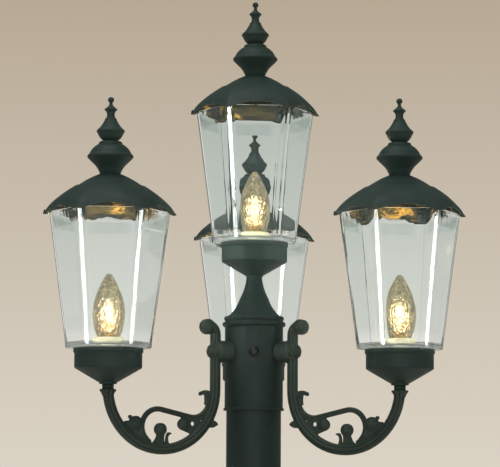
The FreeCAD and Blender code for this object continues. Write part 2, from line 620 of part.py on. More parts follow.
piece = Piece("arm_nuts")
face = f"(sqrt({POST_BORE}^2-(plate_wide/2)^2)-0.1)"
nut = piece.pad([
    (f"{face}-plate_thick", "bolt_level-plate_wide/2", 0), (face, "bolt_level-plate_wide/2", 0),
    (face, "bolt_level+plate_wide/2", 0), (f"{face}-plate_thick", "bolt_level+plate_wide/2", 0),
], "plate_wide")
tap = piece.cut([], f"{POST_BORE}", (None, None, None), "YZ_Plane", False,
                [("0", "bolt_level", "bolt_rad+0.05")], True)
piece.repeat([nut, tap], 3)
piece.place("0", "0", "0", "back_turn")

# ---------------------------------------------------------------- nipples, nuts, gaskets and rings
def tube(piece, low, inner, outer, height, shift=(None, None, None)):
    """A plain ring."""
    return piece.turn([
        (inner, low, 0), (outer, low, 0), (outer, f"{low}+{height}", 0), (inner, f"{low}+{height}", 0),
    ], shift)


side = ("head_reach", None, None)

piece = Piece("nipples")
tube(piece, f"({CONE_TOP}-nipple_deep)", "nipple_bore", "nipple_rad", "(nipple_deep+nipple_up)")
outer = piece.turn([
    ("nipple_bore", "collar_top-nipple_deep", 0), ("nipple_rad", "collar_top-nipple_deep", 0),
    ("nipple_rad", "collar_top", 0), ("shoulder_dia/2", "collar_top", 0), ("shoulder_dia/2", SIDE_LOW, 0),
    ("nipple_rad", SIDE_LOW, 0), ("nipple_rad", f"{SIDE_LOW}+nipple_up", 0),
    ("nipple_bore", f"{SIDE_LOW}+nipple_up", 0),
], side)
piece.repeat([outer], 3)
piece.place("0", "0", "0", "back_turn")

piece = Piece("nipple_nuts")
hexagon = polygon(6, "jam_flat/2/cos(30)", 0, 0)
hole = [("0", "0", "nipple_rad+0.05")]
piece.pad(hexagon, "jam_thick", (None, None, f"{CONE_TOP}+cup_floor"), "XY_Plane", False, hole)
outer = piece.pad(hexagon, "jam_thick", ("head_reach", None, f"{SIDE_LOW}+cup_floor"), "XY_Plane", False, hole)
piece.repeat([outer], 3)
piece.place("0", "0", "0", "back_turn")

piece = Piece("gaskets")
for level, shift in ((CONE_TOP, (None, None, None)), (SIDE_LOW, side)):
    made = tube(piece, f"({level}+cup_tall)", "(cup_dia/2-cup_wall)", "(cup_lip_dia/2-0.5)", "gasket_thick", shift)
piece.repeat([made], 3)
piece.place("0", "0", "0", "back_turn")

piece = Piece("shade_rings")
for level, shift in ((CONE_TOP, (None, None, None)), (SIDE_LOW, side)):
    low = f"{level}+{RING_LOW}"
    made = piece.turn([
        (HOLDER_HOLE, low, 0), ("ring_rad", low, 0), ("ring_rad", f"{low}+ring_tall-2", 0),
        ("ring_rad-2", f"{low}+ring_tall", 0), (HOLDER_HOLE, f"{low}+ring_tall", 0),
    ], shift)
piece.repeat([made], 3)
piece.place("0", "0", "0", "back_turn")

# ---------------------------------------------------------------- the lanterns
ROOF_SHARE = [0.0, 0.105, 0.27, 0.515, 0.79, 1.0]
ROOF_LEVEL = [0.0, 0.21, 0.42, 0.65, 0.86, 1.0]
ROOF_BULGE = [0.030, 0.045, 0.070, 0.100, 0.122, 0.1339746]
ROOF_LEAN = [1.13, 1.2, 1.37, 1.6, 1.85]


def roof_rows(share, bulge, inset="0"):
    """A six-sided outline whose sides bulge until they make a full circle at the dome."""
    across = f"(roof_rad-(roof_rad-dome_rad)*{share}-{inset})"
    return polygon(6, across, math.degrees(4 * math.atan(2 * bulge)), 0)


def up(width, height, sweep=0):
    """A row of the finial, as shares of its neck and of its height."""
    return f"finial_neck*{width}", f"{DOME_TOP}+finial_tall*{height}", sweep


for head in HEADS:
    piece = Piece(f"cup_{head}").at_head(head)
    piece.turn([
        ("nipple_rad+thread_slip", "0", 0), ("cup_foot_dia/2", "0", 0), ("cup_foot_dia/2", "cup_foot_tall", 0),
        ("cup_dia/2-1", "cup_cone_tall-0.6", 0), ("cup_dia/2", "cup_cone_tall+0.6", 0),
        ("cup_dia/2", "cup_tall-cup_lip_tall-1.5", 0),
        ("cup_lip_dia/2", "cup_tall-cup_lip_tall", 0), ("cup_lip_dia/2", "cup_tall", 0),
        ("cup_dia/2-cup_wall", "cup_tall", 0), ("cup_dia/2-cup_wall", "cup_cone_tall+2.4", 0),
        ("jam_flat*0.65", "cup_floor", 0), ("nipple_rad+thread_slip", "cup_floor", 0),
    ])

    piece = Piece(f"glass_{head}").at_head(head)
    run = "((glass_high-glass_low)/glass_tall)"
    piece.loft([(GLASS_LOW, bevelled("glass_low", "facet")), (GLASS_TOP, bevelled("glass_high", "facet"))])
    low_in = f"(glass_low-glass_wall+{run}*glass_floor)"
    piece.loft([(RING_LOW, bevelled(low_in, "facet-1")),
                (f"{GLASS_TOP}+1", bevelled(f"(glass_high-glass_wall+{run})", "facet-1"))], cut=True)
    piece.cut([], "glass_floor+4", (None, None, f"{GLASS_LOW}-2"), "XY_Plane", False,
              [("0", "0", HOLDER_HOLE)], True)

    piece = Piece(f"lamp_holder_{head}").at_head(head)
    piece.turn([
        ("nipple_rad+thread_slip", "holder_low", 0), ("holder_rad-5", "holder_low", 0),
        ("holder_rad", "holder_low+5", 0), ("holder_rad", HOLDER_TOP, 0),
        ("cap_shell_rad+socket_slip", HOLDER_TOP, 0), ("cap_shell_rad+socket_slip", SOCKET_LOW, 0),
        ("0", SOCKET_LOW, 0), ("0", "nipple_up+1", 0), ("nipple_rad+thread_slip", "nipple_up+1", 0),
    ])

    base_top = f"({SOCKET_LOW}+0.3+cap_shell_tall)"
    piece = Piece(f"bulb_base_{head}").at_head(head)
    piece.turn([
        ("0", f"{SOCKET_LOW}+0.3", 0), ("cap_shell_rad*0.4", f"{SOCKET_LOW}+0.3", 0),
        ("cap_shell_rad", f"{SOCKET_LOW}+0.3+pip_tall", 0), ("cap_shell_rad", f"{base_top}-1.5", 0),
        ("cap_shell_rad-2", f"{base_top}-1", 0), ("cap_shell_rad-2", base_top, 0), ("0", base_top, 0),
    ])

    piece = Piece(f"bulb_glass_{head}").at_head(head)
    low = FLAME_LOW
    piece.turn([
        ("cap_shell_rad+0.1", low, 0), ("flame_foot_rad", low, 26), ("flame_rad", f"{low}+flame_tall*0.39", 38),
        ("flame_rad*0.52", f"{low}+flame_tall*0.79", 16), ("3", f"{low}+flame_tall-1.5", 0),
        ("1", f"{low}+flame_tall", 0), ("0", f"{low}+flame_tall", 0), ("0", f"{low}+flame_tall-5", 0),
        ("1", f"{low}+flame_tall-5", 0),
        ("flame_rad*0.5-flame_wall*1.1", f"{low}+flame_tall*0.79", -38),
        ("flame_rad-flame_wall", f"{low}+flame_tall*0.39", -26),
        ("flame_foot_rad-flame_wall", f"{low}+4", 0), ("cap_shell_rad+0.1", f"{low}+4", 0),
    ])

    piece = Piece(f"bulb_core_{head}").at_head(head)
    piece.turn([
        ("0", base_top, 0), ("core_rad+2", base_top, 0), ("core_rad+2", f"{base_top}+3", 0),
        ("core_rad*0.5", f"{base_top}+8", 0), ("core_rad*0.5", f"{base_top}+core_tall*0.38", 0),
        ("core_rad", f"{base_top}+core_tall*0.6", 0), ("core_rad*0.55", f"{base_top}+core_tall*0.85", 0),
        ("0.8", f"{base_top}+core_tall", 0), ("0", f"{base_top}+core_tall", 0),
    ])

    piece = Piece(f"roof_{head}").at_head(head)
    outer = []
    inner = []
    for share, level, bulge in zip(ROOF_SHARE, ROOF_LEVEL, ROOF_BULGE):
        outer.append((f"{RIM}+roof_rise*{level}", roof_rows(share, bulge)))
    for share, level, bulge, lean_in in zip(ROOF_SHARE, ROOF_LEVEL, ROOF_BULGE, ROOF_LEAN):
        inner.append((f"{RIM}+roof_rise*{level}", roof_rows(share, bulge, f"roof_wall*{lean_in}")))
    piece.loft(outer)
    piece.turn([
        ("0", f"{DOME_FOOT}-1", 0), ("dome_rad-1.2", f"{DOME_FOOT}-1", 0), ("dome_rad-1.2", DOME_FOOT, -34),
        ("dome_rad-10.5", f"{DOME_FOOT}+dome_rise*0.18", 14), ("finial_neck", DOME_TOP, 0), ("0", DOME_TOP, 0),
    ])
    piece.loft(inner, cut=True)
    top_in = f"({RIM}+roof_rise*{ROOF_LEVEL[4]})"
    piece.turn([
        ("0", f"{top_in}-1", 0), ("dome_rad-roof_wall*2", f"{top_in}-1", 0), ("dome_rad-roof_wall*4", DOME_FOOT, 0),
        ("finial_neck+10", f"{DOME_TOP}-roof_wall*4", 0), ("finial_neck-3", f"{DOME_TOP}-roof_wall*4", 0),
        ("finial_neck-3", f"{DOME_TOP}-stud_deep", 0), ("stud_rad+stud_slip", f"{DOME_TOP}-stud_deep", 0),
        ("stud_rad+stud_slip", f"{DOME_TOP}+1", 0), ("0", f"{DOME_TOP}+1", 0),
    ], cut=True)
    scallop = piece.cut([
        ("-scallop_half", f"{RIM}-4", 0), ("scallop_half", f"{RIM}-4", 0),
        ("scallop_half", RIM, num("4*atan(2*scallop_rise/(2*scallop_half))")), ("-scallop_half", RIM, 0),
    ], "roof_rad", (None, None, "lug_in-5"), "XZ_Plane", False, (), True)
    piece.repeat([scallop], 6)
    piece.cut(bevelled("(glass_high+glass_slip)", "facet"), "roof_drop+seat_gap+1",
              (None, None, f"{RIM}-1"), "XY_Plane", False, (), True)
    drill_z = f"({RIM}+screw_up)"
    seat_z = f"({GLASS_TOP}+seat_gap)"
    lug_top = f"({RIM}+roof_rise*0.38)"
    lug = piece.pad([
        ("lug_in", seat_z, 0), ("lug_out", seat_z, 0), ("lug_out-5.5", lug_top, 0), ("lug_in+1", lug_top, 0),
    ], "lug_wide")
    piece.repeat([lug], 6)
    drill = piece.turn([
        ("lug_out", "0", 0), ("roof_rad+4", "0", 0), ("roof_rad+4", "screw_head_rad+0.4", 0),
        ("screw_seat", "screw_head_rad+0.4", 0), ("screw_seat", "screw_rad+0.15", 0),
        ("lug_out", "screw_rad+0.15", 0),
    ], (None, drill_z, None), "XZ_Plane", "H_Axis", True)
    doc.recompute()
    piece.repeat([drill], 3)

    piece = Piece(f"roof_screws_{head}").at_head(head)
    tip = "(glass_high+screw_gap)"
    screw = piece.turn([
        (tip, "0", 0), ("screw_seat+screw_head_tall", "0", 0), ("screw_seat+screw_head_tall", "0.8", 50),
        ("screw_seat+0.6", "screw_head_rad", 0),
        ("screw_seat", "screw_head_rad", 0), ("screw_seat", "screw_rad", 0), (tip, "screw_rad", 0),
    ], (None, drill_z, None), axis="H_Axis")
    piece.repeat([screw], 3)

    piece = Piece(f"finial_{head}").at_head(head)
    low = DOME_TOP
    piece.turn([
        ("0", f"{low}-stud_deep", 0), ("stud_rad", f"{low}-stud_deep", 0), ("stud_rad", low, 0),
        ("finial_neck", low, -20), up(1.45, 0.110), up(2.13, 0.200, 40), up(2.23, 0.224, 40), up(2.13, 0.247),
        up(2.02, 0.262, 16), up(1.78, 0.318, 24), up(1.24, 0.379), up(1.16, 0.384), up(1.12, 0.405, 40),
        up(0.98, 0.420), up(0.72, 0.428), up(0.74, 0.436), up(0.90, 0.450, 24), up(1.24, 0.525), up(1.31, 0.538, 50),
        up(1.36, 0.555, 40), up(1.25, 0.577, -10), up(0.98, 0.613, -10), up(0.58, 0.700, 40), up(0.55, 0.716),
        up(0.45, 0.729, -30), up(0.37, 0.760), up(0.38, 0.790, -30), up(0.62, 0.832), up(0.62, 0.842, -16),
        up(0.40, 0.865, -16), up(0.18, 0.895), up(0.15, 0.930, 150), ("0.8", f"{low}+finial_tall", 0),
        ("0", f"{low}+finial_tall", 0),
    ])

# ---------------------------------------------------------------- checks and files
doc.recompute()
bodies = [item for item in doc.Objects if item.TypeId == "PartDesign::Body"]
faults = [f"{item.Name}: {item.State}" for item in doc.Objects
          if "Invalid" in item.State or "Error" in item.State]
faults += [f"{item.Label}: bad shape" for item in bodies if item.Shape.isNull() or not item.Shape.isValid()]
if faults:
    raise RuntimeError("; ".join(faults))

os.makedirs("parts", exist_ok=True)
for item in bodies:
    item.Shape.exportStep(f"parts/{item.Label}.step")
    print(f"{item.Label}: {len(item.Shape.Solids)} solid(s), {item.Shape.Volume / 1000:.2f} cm3")
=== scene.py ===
"""Garden lamp post with four hexagonal lanterns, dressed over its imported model.

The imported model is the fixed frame. Each sub-assembly below is a class that holds its sizes in
millimetres, builds its meshes in the frame's place and dresses them. Meshes, finishes and the
studio are in metres. +Z is up and the camera looks along +Y.
"""

import json
import logging
import math
from collections.abc import Iterable, Sequence
from dataclasses import dataclass, field
from enum import Enum

import bmesh
import bpy
from mathutils import Color, Matrix, Vector, noise

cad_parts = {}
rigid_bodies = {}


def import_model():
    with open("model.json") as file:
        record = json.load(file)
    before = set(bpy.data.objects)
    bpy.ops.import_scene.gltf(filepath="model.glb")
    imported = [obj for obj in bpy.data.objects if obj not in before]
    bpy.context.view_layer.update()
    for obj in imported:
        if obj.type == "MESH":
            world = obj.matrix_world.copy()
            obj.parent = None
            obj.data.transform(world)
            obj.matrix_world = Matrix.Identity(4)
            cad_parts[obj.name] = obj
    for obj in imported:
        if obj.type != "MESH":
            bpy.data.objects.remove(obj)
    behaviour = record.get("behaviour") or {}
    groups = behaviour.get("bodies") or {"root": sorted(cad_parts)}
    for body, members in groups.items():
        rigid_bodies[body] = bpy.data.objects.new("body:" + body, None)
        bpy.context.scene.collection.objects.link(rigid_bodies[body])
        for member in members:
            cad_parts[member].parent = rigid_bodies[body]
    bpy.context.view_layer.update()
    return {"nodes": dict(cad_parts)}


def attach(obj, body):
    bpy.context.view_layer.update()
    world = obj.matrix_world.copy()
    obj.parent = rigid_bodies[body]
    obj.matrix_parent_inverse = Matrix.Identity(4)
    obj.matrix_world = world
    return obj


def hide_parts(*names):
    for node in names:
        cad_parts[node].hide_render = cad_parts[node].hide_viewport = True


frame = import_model()

LOG = logging.getLogger("lamp_post")
MM = 0.001
MERGE = 2e-6
UP = Vector((0.0, 0.0, 1.0))
SIDE = math.radians(60)
HALF_SIDE = math.radians(30)
HEAD_REACH = 265.0
HEAD_TWIST = 4.0
RING_BORE = 20.2

Colour = tuple[float, float, float]
Row = tuple[float, float, float]
Point = tuple[float, float]
Mesh = bmesh.types.BMesh
Vert = bmesh.types.BMVert
Node = bpy.types.Node
Socket = bpy.types.NodeSocket


def from_screen(red: int, green: int, blue: int) -> Colour:
    """Gives the linear colour of a colour written as 0 to 255 on a screen."""
    return tuple(Color((red / 255, green / 255, blue / 255)).from_srgb_to_scene_linear())


def clamped(value: float) -> float:
    """Keeps a value from 0 to 1."""
    return min(1.0, max(0.0, value))


def about_z(turn: float) -> Matrix:
    """Gives a turn about the vertical by an angle in degrees."""
    return Matrix.Rotation(math.radians(turn), 4, "Z")


def off_corner(angle: float) -> float:
    """Gives the turn from the nearest corner of a six-sided outline with a corner at 0."""
    return (angle + HALF_SIDE) % SIDE - HALF_SIDE


def off_side(angle: float) -> float:
    """Gives the turn from the middle of the nearest side of a six-sided outline."""
    return angle % SIDE - HALF_SIDE


# ------------------------------------------------------------------------------ node trees


@dataclass(frozen=True)
class Cloud:
    """Cloudy noise: its scale per metre, the range that is spread out, its octaves and its stretch."""

    scale: float
    low: float = 0.0
    high: float = 1.0
    detail: float = 3.0
    stretch: Row = (1.0, 1.0, 1.0)


class Nodes:
    """Fills a node tree."""

    MIX_SHARE, MIX_FIRST, MIX_SECOND, MIX_RESULT = 0, 6, 7, 2

    def __init__(self, tree: bpy.types.NodeTree) -> None:
        """Empties the tree, to fill it anew."""
        self.tree = tree
        self.tree.nodes.clear()

    def node(self, kind: str, inputs: dict[str | int, object] | None = None, **settings: object) -> Node:
        """Adds a node.

        Args:
            kind: the node's type.
            inputs: what its inputs are fed with: sockets, numbers or colours.
            settings: properties set on the node.

        Returns:
            The node.
        """
        made = self.tree.nodes.new(kind)
        for key, value in settings.items():
            setattr(made, key, value)
        for key, value in (inputs or {}).items():
            self.feed(made.inputs[key], value)
        return made

    def feed(self, socket: Socket, value: object) -> None:
        """Links a socket, or sets its value.

        Args:
            socket: the input.
            value: a socket, a number or a colour.
        """
        if isinstance(value, Socket):
            self.tree.links.new(value, socket)
        elif isinstance(value, tuple) and len(value) == 3 and socket.type == "RGBA":
            socket.default_value = (*value, 1.0)
        else:
            socket.default_value = value

    def mix(self, share: object, first: object, second: object) -> Socket:
        """Mixes two colours, by the share of the second."""
        inputs = {self.MIX_SHARE: share, self.MIX_FIRST: first, self.MIX_SECOND: second}
        return self.node("ShaderNodeMix", inputs, data_type="RGBA").outputs[self.MIX_RESULT]

    def sum(self, kind: str, first: object, second: object) -> Socket:
        """Does one sum, such as ADD, on two numbers."""
        return self.node("ShaderNodeMath", {0: first, 1: second}, operation=kind).outputs[0]

    def times(self, first: object, second: object) -> Socket:
        """Multiplies two numbers."""
        return self.sum("MULTIPLY", first, second)

    def blend(self, share: object, first: Node, second: Node) -> Socket:
        """Mixes two shader nodes, by the share of the second."""
        inputs = {0: share, 1: first.outputs[0], 2: second.outputs[0]}
        return self.node("ShaderNodeMixShader", inputs).outputs[0]


class Shader(Nodes):
    """Builds the node tree of one material."""

    def __init__(self, name: str) -> None:
        """Starts an empty material.

        Args:
            name: the material's name.
        """
        self.material = bpy.data.materials.new(name)
        self.material.use_nodes = True
        super().__init__(self.material.node_tree)
        self.output = self.node("ShaderNodeOutputMaterial")
        self._places: dict[Row, Socket] = {}

    def place(self, stretch: Row = (1.0, 1.0, 1.0)) -> Socket:
        """Gives the object coordinates, stretched.

        Args:
            stretch: the scale along each axis.

        Returns:
            The coordinates.
        """
        if stretch not in self._places:
            source = self.node("ShaderNodeTexCoord").outputs["Object"]
            mapping = self.node("ShaderNodeMapping", {"Scale": stretch, "Vector": source})
            self._places[stretch] = mapping.outputs["Vector"]
        return self._places[stretch]

    def noise(self, cloud: Cloud, where: Socket | None = None) -> Socket:
        """Adds cloudy noise, from 0 to 1, at the object coordinates or at others."""
        inputs = {"Scale": cloud.scale, "Detail": cloud.detail, "Vector": where or self.place(cloud.stretch)}
        return self.node("ShaderNodeTexNoise", inputs).outputs["Fac"]

    def cells(self, where: Socket, scale: float) -> Socket:
        """Adds a cell pattern and gives the distance to the nearest edge of a cell."""
        inputs = {"Scale": scale, "Vector": where}
        return self.node("ShaderNodeTexVoronoi", inputs, feature="DISTANCE_TO_EDGE").outputs["Distance"]

    def spread(self, value: Socket, low: float, high: float,
               to_low: float = 0.0, to_high: float = 1.0) -> Socket:
        """Maps the range from low to high smoothly to the one from to_low to to_high."""
        inputs = {"Value": value, "From Min": low, "From Max": high, "To Min": to_low, "To Max": to_high}
        return self.node("ShaderNodeMapRange", inputs, interpolation_type="SMOOTHSTEP").outputs["Result"]

    def cloud(self, cloud: Cloud, to_low: float = 0.0, to_high: float = 1.0) -> Socket:
        """Adds cloudy noise with its own range spread out to another."""
        return self.spread(self.noise(cloud), cloud.low, cloud.high, to_low, to_high)

    def mark(self, name: str) -> Socket:
        """Reads a value that is stored at the mesh's points."""
        return self.node("ShaderNodeAttribute", attribute_name=name).outputs["Fac"]

    def bump(self, height: Socket, distance: float, strength: float = 1.0,
             over: Socket | None = None) -> Socket:
        """Adds a bump.

        Args:
            height: the height, from 0 to 1.
            distance: what a height of 1 stands for, in metres.
            strength: the bump's strength.
            over: a bump that this one lies on.

        Returns:
            The normal.
        """
        made = self.node("ShaderNodeBump", {"Strength": strength, "Distance": distance, "Height": height})
        if over is not None:
            self.feed(made.inputs["Normal"], over)
        return made.outputs["Normal"]

    def surface(self, **values: object) -> Node:
        """Adds a Principled shader and links it to the output.

        Args:
            values: its inputs, with _ for a space.

        Returns:
            The shader node.
        """
        inputs = {name.replace("_", " "): value for name, value in values.items()}
        made = self.node("ShaderNodeBsdfPrincipled", inputs)
        self.feed(self.output.inputs["Surface"], made.outputs[0])
        return made

    def let_lamps_through(self, glass: Node, tint: Colour) -> None:
        """Lets the lamps' light pass through glass, so that it reaches what is behind.

        Args:
            glass: the glass's shader node.
            tint: the colour of what passes.
        """
        clear = self.node("ShaderNodeBsdfTransparent", {"Color": tint})
        shadow = self.node("ShaderNodeLightPath").outputs["Is Shadow Ray"]
        self.feed(self.output.inputs["Surface"], self.blend(shadow, glass, clear))


# ------------------------------------------------------------------------------ finishes


class Stuff:
    """What a surface is made of. The fields say what it looks like, and fill draws it."""

    def build(self) -> bpy.types.Material:
        """Makes the material."""
        shader = Shader(self.name)
        self.fill(shader)
        return shader.material


@dataclass(frozen=True)
class Paint(Stuff):
    """Satin powder coat, with worn edges and painted shade in its hollows."""

    name: str
    body: Colour = (0.0190, 0.0350, 0.0275)
    light: Colour = (0.0250, 0.0440, 0.0350)
    worn: Colour = (0.050, 0.048, 0.028)
    recess: Colour = (0.004, 0.007, 0.006)
    roughness: float = 0.50
    specular: float = 0.26
    peel_scale: float = 420.0
    peel_depth: float = 0.00016
    wear: float = 0.32
    mottle: Cloud = Cloud(13.0, 0.32, 0.70, 4.0)
    mottle_share: float = 0.75
    speck: Cloud = Cloud(190.0, 0.38, 0.66)
    speck_share: float = 0.22
    chips: Cloud = Cloud(75.0, 0.30, 0.62, 4.0)
    recess_share: float = 0.75
    sheen: Cloud = Cloud(36.0, 0.30, 0.72)
    sheen_down: float = 0.05
    sheen_up: float = 0.09
    waves: Cloud = Cloud(55.0, detail=2.0)
    wave_share: float = 3.2

    def fill(self, shader: Shader) -> None:
        """Draws the paint."""
        tone = shader.mix(shader.times(shader.cloud(self.mottle), self.mottle_share), self.body, self.light)
        tone = shader.mix(shader.times(shader.cloud(self.speck), self.speck_share), tone, self.light)
        broken = shader.times(shader.mark("edge_wear"), shader.cloud(self.chips, 0.25))
        tone = shader.mix(shader.times(broken, self.wear), tone, self.worn)
        # painted shade: the tone darkens to near black where the mesh folds inwards, in hollows and creases
        tone = shader.mix(shader.times(shader.mark("recess"), self.recess_share), tone, self.recess)
        rough = shader.cloud(self.sheen, self.roughness - self.sheen_down, self.roughness + self.sheen_up)
        peel = shader.bump(shader.noise(Cloud(self.peel_scale, detail=2.0)), self.peel_depth, 0.55)
        waves = shader.bump(shader.noise(self.waves), self.peel_depth * self.wave_share, 0.45, peel)
        shader.surface(Base_Color=tone, Roughness=rough, Normal=waves, Specular_IOR_Level=self.specular)


@dataclass(frozen=True)
class Lining(Stuff):
    """The dark lacquer inside the roofs, with painted golden streaks in patches that stand for the lit bulbs'
    reflections; being metallic, they also mirror the bulbs' lamps.
    """

    name: str = "warm_roof_lacquer"
    body: Colour = (0.007, 0.011, 0.008)
    shade: Colour = (0.013, 0.017, 0.011)
    gold: Colour = (1.0, 0.62, 0.14)
    mottle: Cloud = Cloud(40.0, 0.35, 0.70)
    streaks: Cloud = Cloud(300.0, 0.52, 0.66, stretch=(0.10, 0.10, 1.0))
    streak_share: float = 0.8
    patches: Cloud = Cloud(22.0, 0.44, 0.60, 1.0)
    ripples: Cloud = Cloud(210.0, detail=2.0, stretch=(0.10, 0.10, 1.0))
    ripple_depth: float = 0.0009

    def fill(self, shader: Shader) -> None:
        """Draws the lacquer."""
        tone = shader.mix(shader.cloud(self.mottle), self.body, self.shade)
        # painted reflection: metallic golden streaks in patches stand for the bulbs' light drawn out on the
        # lacquer
        streaks = shader.times(shader.cloud(self.streaks, 0.0, self.streak_share), shader.cloud(self.patches))
        shader.surface(Base_Color=shader.mix(streaks, tone, self.gold), Metallic=streaks, Roughness=0.24,
                       Specular_IOR_Level=0.30,
                       Normal=shader.bump(shader.noise(self.ripples), self.ripple_depth, 0.6))


@dataclass(frozen=True)
class ClearGlass(Stuff):
    """Clear moulded glass with a slight grey-green tint."""

    name: str = "clear_moulded_glass"
    tint: Colour = (0.968, 0.986, 0.980)
    mirror: Colour = (0.40, 0.45, 0.45)
    ior: float = 1.5
    clear: float = 1.0
    roughness: float = 0.0
    wave_depth: float = 0.00016
    slow: Cloud = Cloud(26.0, detail=2.0, stretch=(1.0, 1.0, 0.22))
    ribs: Cloud = Cloud(220.0, detail=1.0, stretch=(1.0, 1.0, 0.03))
    curls: Cloud = Cloud(60.0, detail=2.0, stretch=(1.0, 1.0, 0.6))

    def fill(self, shader: Shader) -> None:
        """Draws the glass."""
        slow = shader.bump(shader.noise(self.slow), self.wave_depth, 0.18)
        ribs = shader.bump(shader.noise(self.ribs), self.wave_depth * 0.25, 0.4, slow)
        curls = shader.times(shader.noise(self.curls), shader.mark("rim"))
        waves = shader.bump(curls, self.wave_depth * 7.0, 1.0, ribs)
        glass = shader.surface(Base_Color=self.tint, Roughness=self.roughness, IOR=self.ior,
                               Transmission_Weight=self.clear, Specular_Tint=self.mirror, Normal=waves)
        shader.let_lamps_through(glass, self.tint)


@dataclass(frozen=True)
class CrackledGlass(Stuff):
    """The crackled glass of a flame bulb, with a faint painted amber glow in patches that stands for the
    bulb's light caught in the glass.
    """

    name: str = "crackled_bulb_glass"
    tint: Colour = (0.999, 0.995, 0.960)
    mirror: Colour = (0.35, 0.35, 0.30)
    line: Colour = (0.90, 0.83, 0.62)
    glow: Colour = (1.0, 0.74, 0.30)
    ior: float = 1.34
    squeeze: Row = (1.0, 1.0, 0.60)
    cell_scale: float = 230.0
    crack_width: float = 0.22
    crack_share: float = 0.50
    depth: float = 0.0034
    swirl_scale: float = 90.0
    swirl: float = 0.008
    ripples: Cloud = Cloud(130.0, detail=2.0)
    caught: Cloud = Cloud(150.0, 0.44, 0.72, stretch=(1.0, 1.0, 0.3))
    caught_strength: float = 0.15

    def _bent(self, shader: Shader) -> Socket:
        """Gives coordinates that are stirred a little, so that the cracks aren't straight.

        Args:
            shader: the material that is being built.

        Returns:
            The coordinates.
        """
        where = shader.place(self.squeeze)
        swirl = shader.node("ShaderNodeTexNoise", {"Scale": self.swirl_scale, "Vector": where})
        small = {0: swirl.outputs["Color"], "Scale": self.swirl}
        shift = shader.node("ShaderNodeVectorMath", small, operation="SCALE").outputs[0]
        return shader.node("ShaderNodeVectorMath", {0: where, 1: shift}, operation="ADD").outputs[0]

    def fill(self, shader: Shader) -> None:
        """Draws the glass."""
        bent = self._bent(shader)
        cracks = shader.spread(shader.cells(bent, self.cell_scale), 0.0, self.crack_width)
        height = shader.sum("ADD", shader.times(cracks, self.crack_share), shader.noise(self.ripples, bent))
        # painted glow: amber emission in patches over the glass stands for the bulb's light caught in it
        caught = shader.times(shader.cloud(self.caught, 0.0, self.caught_strength),
                              shader.spread(cracks, 0.0, 1.0, 0.2, 1.3))
        glass = shader.surface(Base_Color=shader.mix(cracks, self.line, self.tint), Roughness=0.0,
                               IOR=self.ior, Transmission_Weight=1.0, Specular_Tint=self.mirror,
                               Normal=shader.bump(height, self.depth), Emission_Color=self.glow,
                               Emission_Strength=caught)
        shader.let_lamps_through(glass, self.tint)


@dataclass(frozen=True)
class Glow(Stuff):
    """A lit filament that flickers between two colours."""

    name: str
    colour: Colour
    strength: float
    pale: Colour = (1.0, 0.84, 0.58)
    flicker: Cloud = Cloud(260.0, 0.30, 0.70, 2.0)

    def fill(self, shader: Shader) -> None:
        """Draws the filament."""
        tone = shader.mix(shader.cloud(self.flicker), self.colour, self.pale)
        shader.surface(Base_Color=tone, Roughness=0.6, Emission_Color=tone, Emission_Strength=self.strength)


@dataclass(frozen=True)
class Metal(Stuff):
    """Plain bright metal with fine turning marks."""

    name: str
    body: Colour
    dull: Colour
    roughness: float = 0.30
    mottle: Cloud = Cloud(60.0, 0.35, 0.70)
    marks: Cloud = Cloud(240.0, 0.30, 0.70, stretch=(1.0, 1.0, 6.0))

    def fill(self, shader: Shader) -> None:
        """Draws the metal."""
        marks = shader.noise(self.marks)
        tone = shader.mix(shader.cloud(self.mottle), self.body, self.dull)
        rough = shader.spread(marks, self.marks.low, self.marks.high, self.roughness, self.roughness + 0.15)
        shader.surface(Base_Color=tone, Metallic=1.0, Roughness=rough, Normal=shader.bump(marks, 0.0001, 0.4))


@dataclass(frozen=True)
class Glazed(Stuff):
    """Glazed or moulded insulating stuff."""

    name: str
    body: Colour
    shade: Colour
    roughness: float = 0.28
    mottle: Cloud = Cloud(70.0, 0.35, 0.70, 4.0)
    sheen: Cloud = Cloud(180.0, 0.30, 0.70, 2.0)
    grain: Cloud = Cloud(500.0)

    def fill(self, shader: Shader) -> None:
        """Draws the stuff."""
        shader.surface(Base_Color=shader.mix(shader.cloud(self.mottle), self.body, self.shade),
                       Roughness=shader.cloud(self.sheen, self.roughness, self.roughness + 0.12),
                       Normal=shader.bump(shader.noise(self.grain), 0.00008, 0.5))


@dataclass(frozen=True)
class PaleFloor(Stuff):
    """Smooth pale floor paint."""

    name: str = "pale_floor"
    body: Colour = (0.66, 0.60, 0.52)
    shade: Colour = (0.70, 0.64, 0.56)
    mottle: Cloud = Cloud(1.4, 0.35, 0.65, 4.0)

    def fill(self, shader: Shader) -> None:
        """Draws the paint."""
        shader.surface(Base_Color=shader.mix(shader.cloud(self.mottle), self.body, self.shade),
                       Roughness=0.9, Specular_IOR_Level=0.15)


